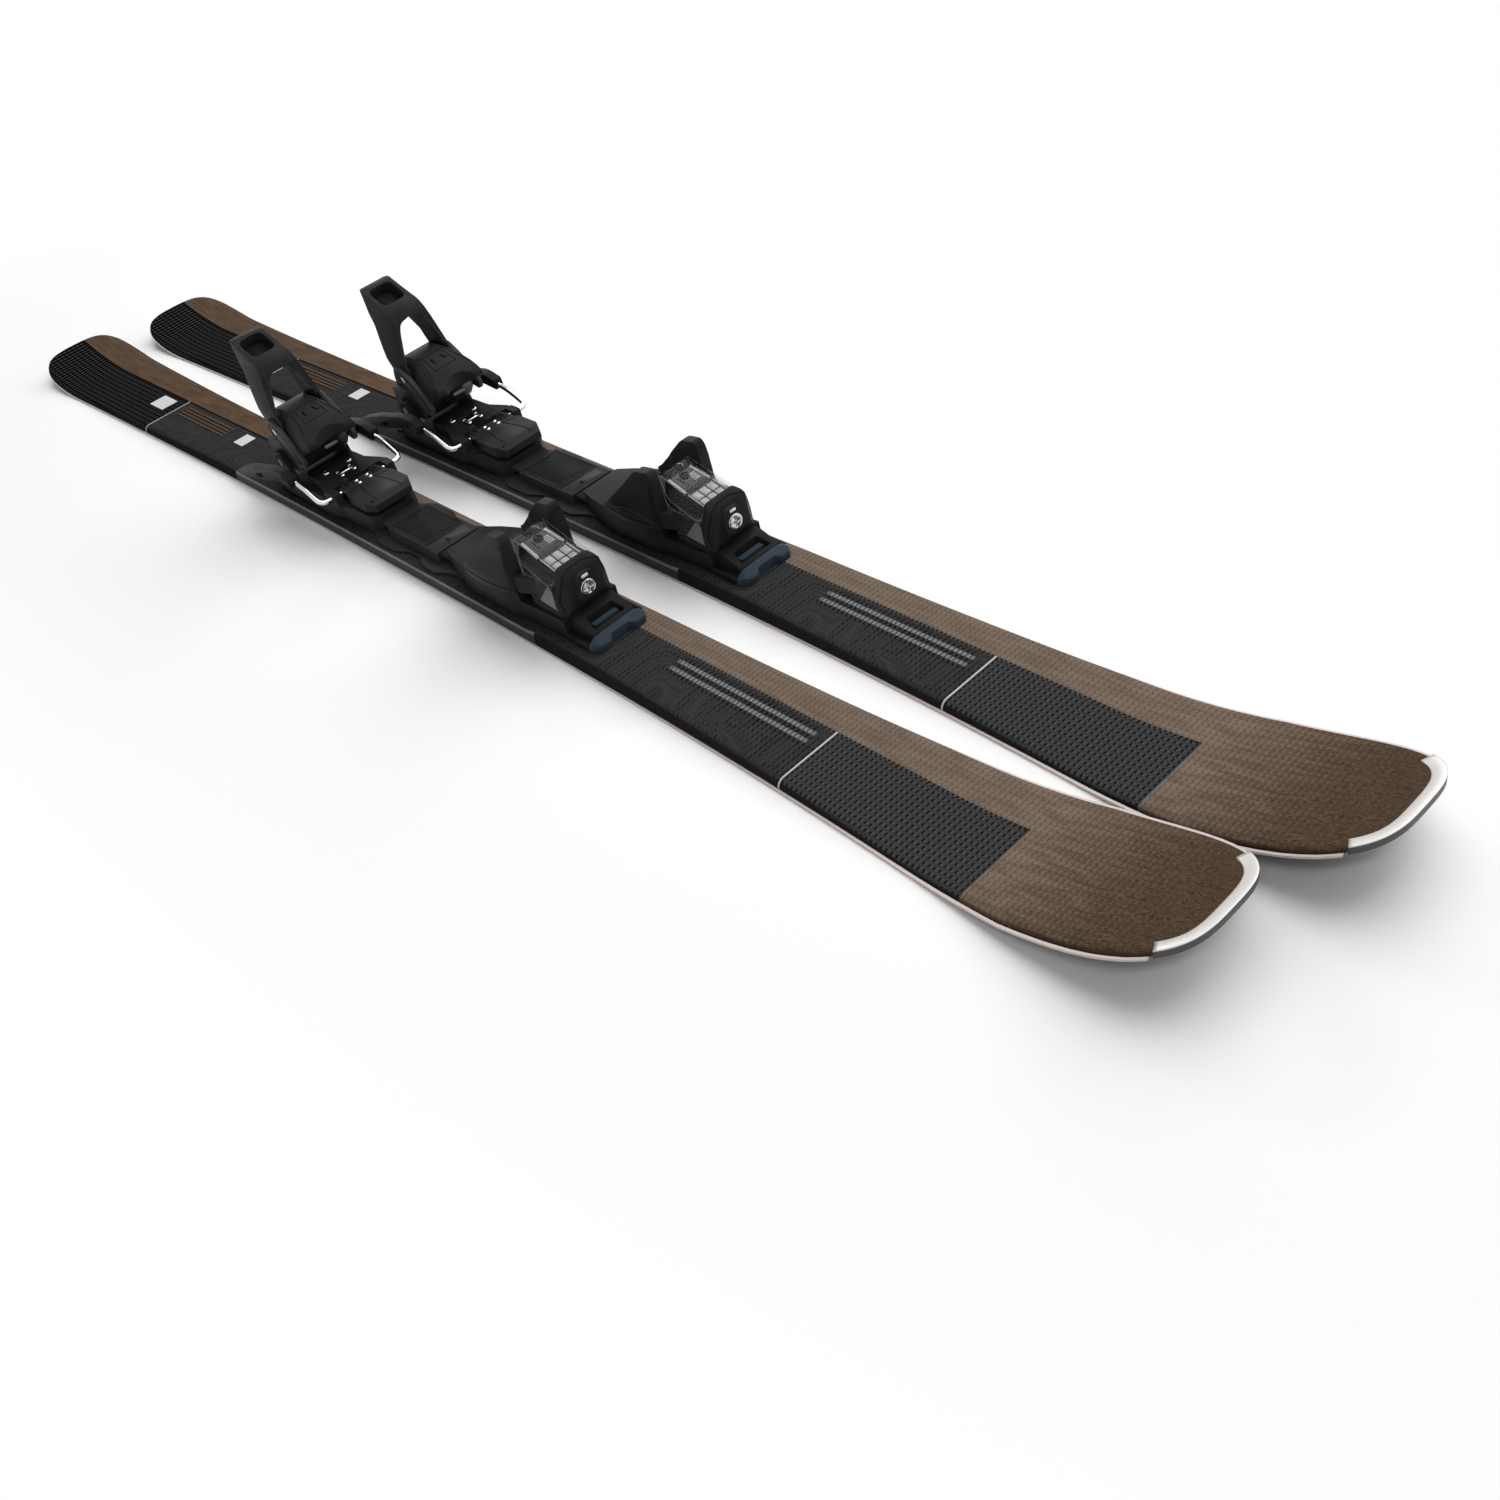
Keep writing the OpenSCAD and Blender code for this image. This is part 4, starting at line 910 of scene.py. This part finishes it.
def brake_details():
    """On the plate: two screws, two dark windows that are painted shade where the plate is open, and a bright
    clip over the larger window.
    """
    shape = Shape(HEEL)
    chrome, dark = range(2)
    screw_x = 13.7
    screw_y = -9.5
    screw_head = [(0.01, 1.5), (1.8, 1.4), (2.9, 0.8), (3.3, 0), (3.3, -1)]
    clip_x = 7.2
    clip_rows = (3, 5, 12, 14)
    clip_end = [(0.01, 2.2), (1.4, 1.9), (2, 1), (2, -0.4)]
    for sign in (1, -1):
        shape.lathe(screw_head, stood((screw_x * sign, screw_y, 0)), slot=chrome)
        shape.tube([(clip_x * sign, y, 0.4) for y in clip_rows], 1.4, 14, chrome)
        for y in (clip_rows[0], clip_rows[-1]):
            shape.lathe(clip_end, stood((clip_x * sign, y, 0)), 20, chrome)
    shape.tube([(x, 8.5, 0.6) for x in (-clip_x, 0, clip_x)], 1.2, 14, chrome)
    # Painted shade: dark slabs for the plate's two openings
    shape.prism(rectangle(-10, -1, 10, 17.5, 1.5), -3, 0.2, slot=dark)
    shape.prism(rectangle(-7.5, 18.5, 7.5, 26, 1), -3, 0.2, slot=dark)
    return shape.mesh("brake_details")


def pad_details():
    """On the pad: rivets, two blocks with dark holes that are painted shade, crease lines and a dark dot."""
    shape = Shape(HEEL, "brake_pad")
    chrome, black, dark = range(3)
    rivet_x = 6.3
    rivet_z = 1.7
    rivet = [(0.01, 1.6), (1.2, 1.4), (1.9, 0.6), (2, -0.6)]
    dot = [(0.01, 0.4), (1.4, 0.4), (1.6, -0.6)]
    long_crease = [(9, 50), (13.5, 70), (15, 92)]
    short_crease = [(9, 50), (23, 54)]
    for sign in (1, -1):
        for y in (40, 47):
            shape.lathe(rivet, stood((rivet_x * sign, y, rivet_z)), 20, chrome)
        shape.prism(rectangle(12.5 * sign, 32.5, 21.5 * sign, 43, 1.5), -1, 3, slot=black, shrink=0.06)
        # Painted shade: a dark inset for each block's hole
        shape.prism(rectangle(14.6 * sign, 35, 19.4 * sign, 41, 0.8), 2.6, 3.15, slot=dark)
        for crease in (long_crease, short_crease):
            shape.seam([(x * sign, y, 0) for x, y in crease], DOWN, slot=dark)
    shape.lathe(dot, stood((19.5, 90.5, 1.2), -18), 18, dark)
    return shape.mesh("pad_details")


def tip_details():
    """On the brake tips: a dark slot near the end and ridges at the mouth."""
    shape = Shape(HEEL + Vector((0, BRAKE_Y, BRAKE_Z)))
    dark, black = range(2)
    sunk = 0.6
    proud = 0.25
    slot = rounded([(-127, -1.5), (-108, 3.6), (-109, 8), (-127, 2.2)], 1.6)
    ridge = [(-1.3, 13), (1.3, 12.4), (1.3, 19), (-1.3, 19.6)]
    for sign in (1, -1):
        low, high = sorted((sign * (TIP_OUT - sunk), sign * (TIP_OUT + proud)))
        shape.prism(slot, low, high, SIDE, dark)
        ridge_high = high + proud if sign > 0 else high
        for y in (-47, -52, -57):
            shape.prism(rounded([(y + along, z) for along, z in ridge], 0.6), low, ridge_high, SIDE, black)
    return shape.mesh("tip_details")


def lever_details():
    """On the lever: ribbed pocket floor, dark groove lines and light crease lines up to the head, the crease
    lines painted highlights, dark vents that are painted shade of their openings, and a light tab.
    """
    shape = Shape(HEEL, "heel_lever")
    dark, floor, light, grey = range(4)
    pocket = stood((0, -73.5, 120.5), LEVER_TILT)
    shape.prism(rectangle(-12.8, -15.3, 12.8, 11.8, 6), -11.4, -10.3, slot=floor, place=pocket)
    for k in range(9):
        y = -12 + RIB_PITCH * k
        shape.prism(rectangle(-9.6, y - 0.4, 9.6, y + 0.4, 0.3), -10.6, -9.9, slot=floor, place=pocket)
    slant = (0, -0.9, -0.45)
    groove = [(25, 66), (22.4, 80), (19, 92), (14.5, 100), (8, 104), (0, 105)]
    crease = [(26.6, 74), (24, 88), (20.7, 100), (18, 110), (16, 119), (15.6, 130)]
    upper_vent = [(21.6, 91), (20.4, 96)]
    lower_vent = [(24.6, 78), (23.6, 84)]
    # Painted light: the light crease lines are painted highlights, and the dark vents painted shade of their
    # openings
    lines = ((groove, 0.5, dark), (crease, 0.45, grey), (upper_vent, 1.1, dark), (lower_vent, 1.1, dark))
    for sign in (1, -1):
        for line, radius, slot in lines:
            shape.seam([(x * sign, 0, z) for x, z in line], slant, radius, slot)
    shape.prism(rounded([(-68, 99), (-57, 101.5), (-57, 103.5), (-68, 103)], 0.8), -5, 5, SIDE, light)
    return shape.mesh("lever_details")


def housing_details():
    """On the heel cup: outline of its plate, crease lines, and the light bar under the arch."""
    shape = Shape(HEEL, "heel_housing")
    dark, light, grey = range(3)
    plate = [(-11, -30, 0), (11, -30, 0), (13, -7, 0), (-13, -7, 0)]
    inner_crease = [(14, -34), (18, -14), (22.5, 2)]
    outer_crease = [(20, -26), (24, -8), (26.5, 4)]
    shape.seam(plate, DOWN, 0.35, dark, True)
    for sign in (1, -1):
        for crease, slot in ((inner_crease, dark), (outer_crease, grey)):
            shape.seam([(x * sign, y, 0) for x, y in crease], DOWN, slot=slot)
    shape.prism(rectangle(-7, 27.5, 7, 30.5, 1), -1.6, 1.2, FRONT, light)
    return shape.mesh("housing_details")


def cheek_details():
    """On the cheeks: a groove line inside the rim and a white indicator slot."""
    shape = Shape(HEEL, "heel_cheeks")
    dark, white = range(2)
    sunk = 0.8
    proud = 0.4
    rim = [(-55, 53.5), (-47, 56.8), (-26, 44), (-10, 23.6), (-11.5, 19), (-22, 21), (-44, 38.6)]
    slot_turn = Matrix.Rotation(math.radians(-52), 2)
    slot_middle = Vector((-44, 48.5))
    slot = [slot_turn @ point + slot_middle for point in rectangle(-3.2, -1.5, 3.2, 1.5, 1.4)]
    for sign in (1, -1):
        loop = [(sign * CHEEK_OUT, y, z) for y, z in bent(rim, 5, 4, True)]
        shape.seam(loop, (-sign, 0, 0), slot=dark, closed=True)
        low, high = sorted((sign * (CHEEK_OUT - sunk), sign * (CHEEK_OUT + proud)))
        shape.prism(slot, low, high, SIDE, white)
    return shape.mesh("cheek_details")


add_piece("brake_wire", brake_wire(), "brake", ["chrome"], ["brake_wire"])
add_piece("brake_fittings", brake_details(), "heel", ["chrome", "seam"])
add_piece("pad_fittings", pad_details(), "brake", ["chrome", "plastic", "seam"])
add_piece("tip_marks", tip_details(), "brake", ["seam", "plastic"])
add_piece("lever_lines", lever_details(), "heel_lever", ["seam", "rail", "plastic_light", "plastic_grey"])
add_piece("housing_lines", housing_details(), "heel_jaw", ["seam", "plastic_light", "plastic_grey"])
add_piece("cheek_lines", cheek_details(), "heel_jaw", ["seam", "white"])


# Details of the rail between the brake and the ramp, in millimetres in the ski's frame
PANEL_TOP = 28
PANEL_HALF = 20
BORDER_HALF = 22
PANEL_REAR = -34
PANEL_FRONT = 28
HATCH_LEAN = 0.42
HATCH_PITCH = 3.4
HATCH_W = 1.5


def rail_details():
    """Hatched panel with a border, and a grey strip with a dark slot."""
    shape = Shape()
    hatch, dark, grey = range(3)
    for x0, x1, y0, y1 in ((-BORDER_HALF, BORDER_HALF, PANEL_REAR - 2, PANEL_REAR),
                           (-BORDER_HALF, BORDER_HALF, PANEL_FRONT, PANEL_FRONT + 1.4),
                           (-BORDER_HALF, -PANEL_HALF, PANEL_REAR, PANEL_FRONT),
                           (PANEL_HALF, BORDER_HALF, PANEL_REAR, PANEL_FRONT)):
        edge = [(x0, y0), (x1, y0), (x1, y1), (x0, y1)]
        shape.prism(edge, PANEL_TOP - 0.5, PANEL_TOP + 0.6, slot=hatch)
    rise = 2 * PANEL_HALF * HATCH_LEAN
    start = PANEL_REAR - rise
    for k in range(int((PANEL_FRONT - start) / HATCH_PITCH) + 1):
        y = start + k * HATCH_PITCH
        rib = [(-PANEL_HALF, y + rise), (PANEL_HALF, y),
               (PANEL_HALF, y + HATCH_W), (-PANEL_HALF, y + rise + HATCH_W)]
        rib = clipped(rib, PANEL_REAR, PANEL_FRONT)
        if len(rib) > 2:
            shape.prism(rib, PANEL_TOP - 0.5, PANEL_TOP + 0.5, slot=hatch)
    shape.prism(rectangle(-18, 32, 18, 46, 1.5), PANEL_TOP - 0.4, PANEL_TOP + 0.3, slot=grey)
    shape.prism(rectangle(3, 36.5, 5.6, 43, 0.6), PANEL_TOP, PANEL_TOP + 0.5, slot=dark)
    return shape.mesh("rail_details")


add_piece("rail_panel", rail_details(), "ski", ["rail", "seam", "plastic_grey"])


# Details of the toe, in millimetres from the toe end of the boot sole
DECK = stood((0, 56.5, 28.5), -14.3)
CREASE_BEND = 8


def toe_deck():
    """Under the clear cover: grey plate with a ring knob and scale bars, ridge, six silver fields, ticks, and
    white lines along its sides that are painted highlights of the cover's edges.
    """
    shape = Shape(TOE)
    silver, plate, inset, dark, white, grey = range(6)

    def block(corners, reach, low, high, slot, shrink=0):
        shape.prism(rectangle(*corners, reach), low, high, slot=slot, place=DECK, shrink=shrink)

    shape.prism(mirrored([(12.2, -25), (15, 26)]), -0.3, 0.6, slot=plate, place=DECK)
    block((-11, -24, 11, -6.5), 1.5, 0.4, 1.2, inset)
    knob = DECK @ Matrix.Translation((-1, -18.5, 1.1))
    shape.lathe([(4.4, 0), (4.4, 1.6), (3.9, 2.1), (2.7, 2.1), (2.5, 1.2), (0.01, 1.2)], knob, 26, dark)
    shape.lathe([(1.7, 1), (1.5, 1.8), (0.01, 1.9)], knob, 20, dark)
    for k in range(4):
        block((-10.8, -17.4 + RIB_PITCH * k, -4, -16 + RIB_PITCH * k), 0.3, 1, 1.5, white)
    block((5.2, -21, 6, -9), 0.3, 1, 1.5, dark)
    block((-13.4, -4.5, 13.4, 1.5), 1.5, 0.3, 2.2, grey, 0.05)
    block((-13.2, 2.6, 13.2, 24.6), 0.6, 0.3, 1, dark)
    for x in (-8.6, 0, 8.6):
        for low, high in ((3.6, 12.8), (14.2, 23.4)):
            block((x - 3.6, low, x + 3.6, high), 0.6, 0.8, 1.8, silver, 0.02)
    for sign in (1, -1):
        for k in range(9):
            y = -23 + RIB_PITCH * k
            x = sign * (12.6 + 0.05 * (y + 25))
            block((x - 1.2, y - 0.9, x + 1.2, y + 0.9), 0.3, 0.4, 2.6, white)
        # Painted highlight: a white line under each of the cover's side edges
        edge = [DECK @ Vector((sign * (14.1 + 0.02 * y), y, 2.2)) for y in (3, 10, 17, 23)]
        shape.tube(edge, 0.55, 10, white)
    return shape.mesh("toe_deck")


def toe_details():
    """On the housing: light side windows, seam lines, and a white indicator above the screw."""
    shape = Shape(TOE, "toe_housing")
    light, dark, white = range(3)
    window = [(0, 60, -3), (0, 83, -6), (0, 83, 13), (0, 78, 17)]
    side_line = [(0, 44, -6), (0, 60, -5), (0, 76, -6.5), (0, 83, -7)]
    nose_line = [(24, -8), (25, 4), (19, 24), (8, 27.5), (0, 27.5)]
    for sign in (1, -1):
        inward = (-sign, 0, 0)
        shape.patch(window, inward, 0.35, light, 16)
        shape.seam(side_line, inward, slot=dark)
        shape.seam([(sign * x, 0, z) for x, z in nose_line], BACK, slot=dark)
    shape.prism(rectangle(-3.4, 17.2, 3.4, 20, 1.3), -97.5, -96.4, FRONT, white)
    return shape.mesh("toe_details")


def wing_details(node, sign):
    """On a wing: a light and a dark crease round a lens-shaped facet, painted highlight and painted shade,
    and a darker front rim, painted shade where the front face lies in shadow.
    """
    shape = Shape(TOE, node)
    dark, rim, grey = range(3)
    inward = (-sign, 0, 0)
    upper = bent([(32, 2), (20, 10), (2, 14), (-18, 10), (-36, 5)], CREASE_BEND)
    lower = bent([(32, 2), (8, 3.4), (-16, 3.6), (-36, 5)], CREASE_BEND)
    # The upper crease line is a painted highlight and the lower one painted shade
    for line, slot in ((upper, grey), (lower, dark)):
        shape.seam([(0, y, z) for y, z in line], inward, slot=slot)
    # Painted shade: a darker patch over the front rim
    shape.patch([(0, 29.5, 0), (0, 35.4, 0), (0, 35.4, 45), (0, 31.5, 46)], inward, 0.25, rim)
    return shape.mesh(f"{node}_details")


DECK_MATERIALS = ["silver", "plastic_light", "plastic_light", "seam", "white", "plastic_grey"]
# Slots of the wing lines: a dark crease and a darker rim, both painted shade, and a light crease, painted
# highlight
WING_MATERIALS = ["seam", "plastic_deep", "plastic_grey"]
add_piece("toe_deck", toe_deck(), "toe", DECK_MATERIALS)
add_piece("toe_marks", toe_details(), "toe", ["plastic_light", "seam", "white"])
for wing, outwards in (("outer_wing", 1), ("inner_wing", -1)):
    add_piece(f"{wing}_lines", wing_details(f"toe_{wing}", outwards), f"toe_{wing}", WING_MATERIALS)


# Camera at the photograph's viewing angle
IMAGE_PX = 1500
FOCAL_PX = 1536.9
SENSOR_MM = 36
AZIMUTH = 147.119
ELEVATION = 40.1188
ROLL = -16.1388
DISTANCE = 1.4856
TARGET = Vector((-0.0411, 0.2441, -0.2106))
CLIP_START = 0.01

# Floor, light of the world and lamps
FLOOR_HALF = 30
FLOOR_Z = -0.4 * MM
FLOOR_COLOUR = (0.97, 0.97, 0.97, 1)
FADE_STRETCH = (3, 1, 1)
FADE_FROM = 0.9
FADE_TO = 1.5
WORLD_COLOUR = (1, 1, 1, 1)
WORLD_LIGHT = 0.22
WORLD_SEEN = 1
# Name, place, aim, width and depth, and power in watts
LAMPS = [
    ("key", (-1.4, 0.2, 2.1), (0, 0.1, 0), (3.2, 3.4), 76),
    ("rim", (-0.9, -2.2, 1.6), (0, -0.1, 0), (1.0, 0.25), 12),
    ("side", (-1.9, 0.3, 0.8), (0, 0.1, 0), (2.6, 0.3), 7),
    ("front", (1.0, 1.7, 1.9), (0, 0.1, 0), (0.9, 0.2), 7),
    ("near", (1.6, 0.1, 0.5), (0, 0.1, 0), (2.8, 0.4), 4),
]


def add_camera():
    azimuth, elevation, roll = (math.radians(angle) for angle in (AZIMUTH, ELEVATION, ROLL))
    back = Vector((math.sin(azimuth) * math.cos(elevation), -math.cos(azimuth) * math.cos(elevation),
                   math.sin(elevation)))
    level = (-back).cross(Vector((0, 0, 1))).normalized()
    rise = level.cross(-back)
    right = level * math.cos(roll) + rise * math.sin(roll)
    up = rise * math.cos(roll) - level * math.sin(roll)
    data = bpy.data.cameras.new("camera")
    data.sensor_width = SENSOR_MM
    data.lens = SENSOR_MM * FOCAL_PX / IMAGE_PX
    data.clip_start = CLIP_START
    camera = add_object("camera", data)
    camera.matrix_world = Matrix((right, up, back)).transposed().to_4x4()
    camera.location = TARGET + back * DISTANCE
    bpy.context.scene.camera = camera


def add_floor():
    """White floor that keeps the shadows near the skis and turns plain white further out."""
    corners = [(-1, -1), (1, -1), (1, 1), (-1, 1)]
    mesh = mesh_from("floor", [(FLOOR_HALF * x, FLOOR_HALF * y, FLOOR_Z) for x, y in corners], [(0, 1, 2, 3)])
    graph = Graph("floor_white")
    graph.tree.nodes.remove(graph.shader)
    matte = graph.node("ShaderNodeBsdfDiffuse", {"Color": FLOOR_COLOUR})
    glow = graph.node("ShaderNodeEmission")
    away = graph.node("ShaderNodeVectorMath", {0: graph.position(), 1: FADE_STRETCH}, operation="MULTIPLY")
    reach = graph.node("ShaderNodeVectorMath", {0: away.outputs[0]}, operation="LENGTH")
    share = graph.times(graph.seen(), graph.remap(reach.outputs["Value"], FADE_FROM, FADE_TO))
    both = graph.node("ShaderNodeMixShader", {"Fac": share, 1: matte.outputs[0], 2: glow.outputs[0]})
    graph.put(graph.tree.nodes["Material Output"].inputs["Surface"], both.outputs[0])
    mesh.materials.append(graph.material)
    floor = add_object("floor", mesh)


def add_world():
    """White where it is seen, and a weak light on the skis."""
    world = bpy.data.worlds.new("studio")
    bpy.context.scene.world = world
    graph = Graph(owner=world)
    fill = graph.tree.nodes["Background"]
    graph.put(fill.inputs["Color"], WORLD_COLOUR)
    graph.put(fill.inputs["Strength"], graph.remap(graph.seen(), 0, 1, WORLD_LIGHT, WORLD_SEEN))


def add_lamp(name, place, aim, size, power):
    data = bpy.data.lights.new(name, "AREA")
    data.shape = "RECTANGLE"
    data.size, data.size_y = size
    data.energy = power
    lamp = add_object(name, data)
    lamp.location = place
    lamp.rotation_euler = (Vector(aim) - Vector(place)).to_track_quat("-Z", "Y").to_euler()


add_camera()
add_floor()
add_world()
for lamp in LAMPS:
    add_lamp(*lamp)

bpy.context.scene.view_settings.view_transform = "Standard"
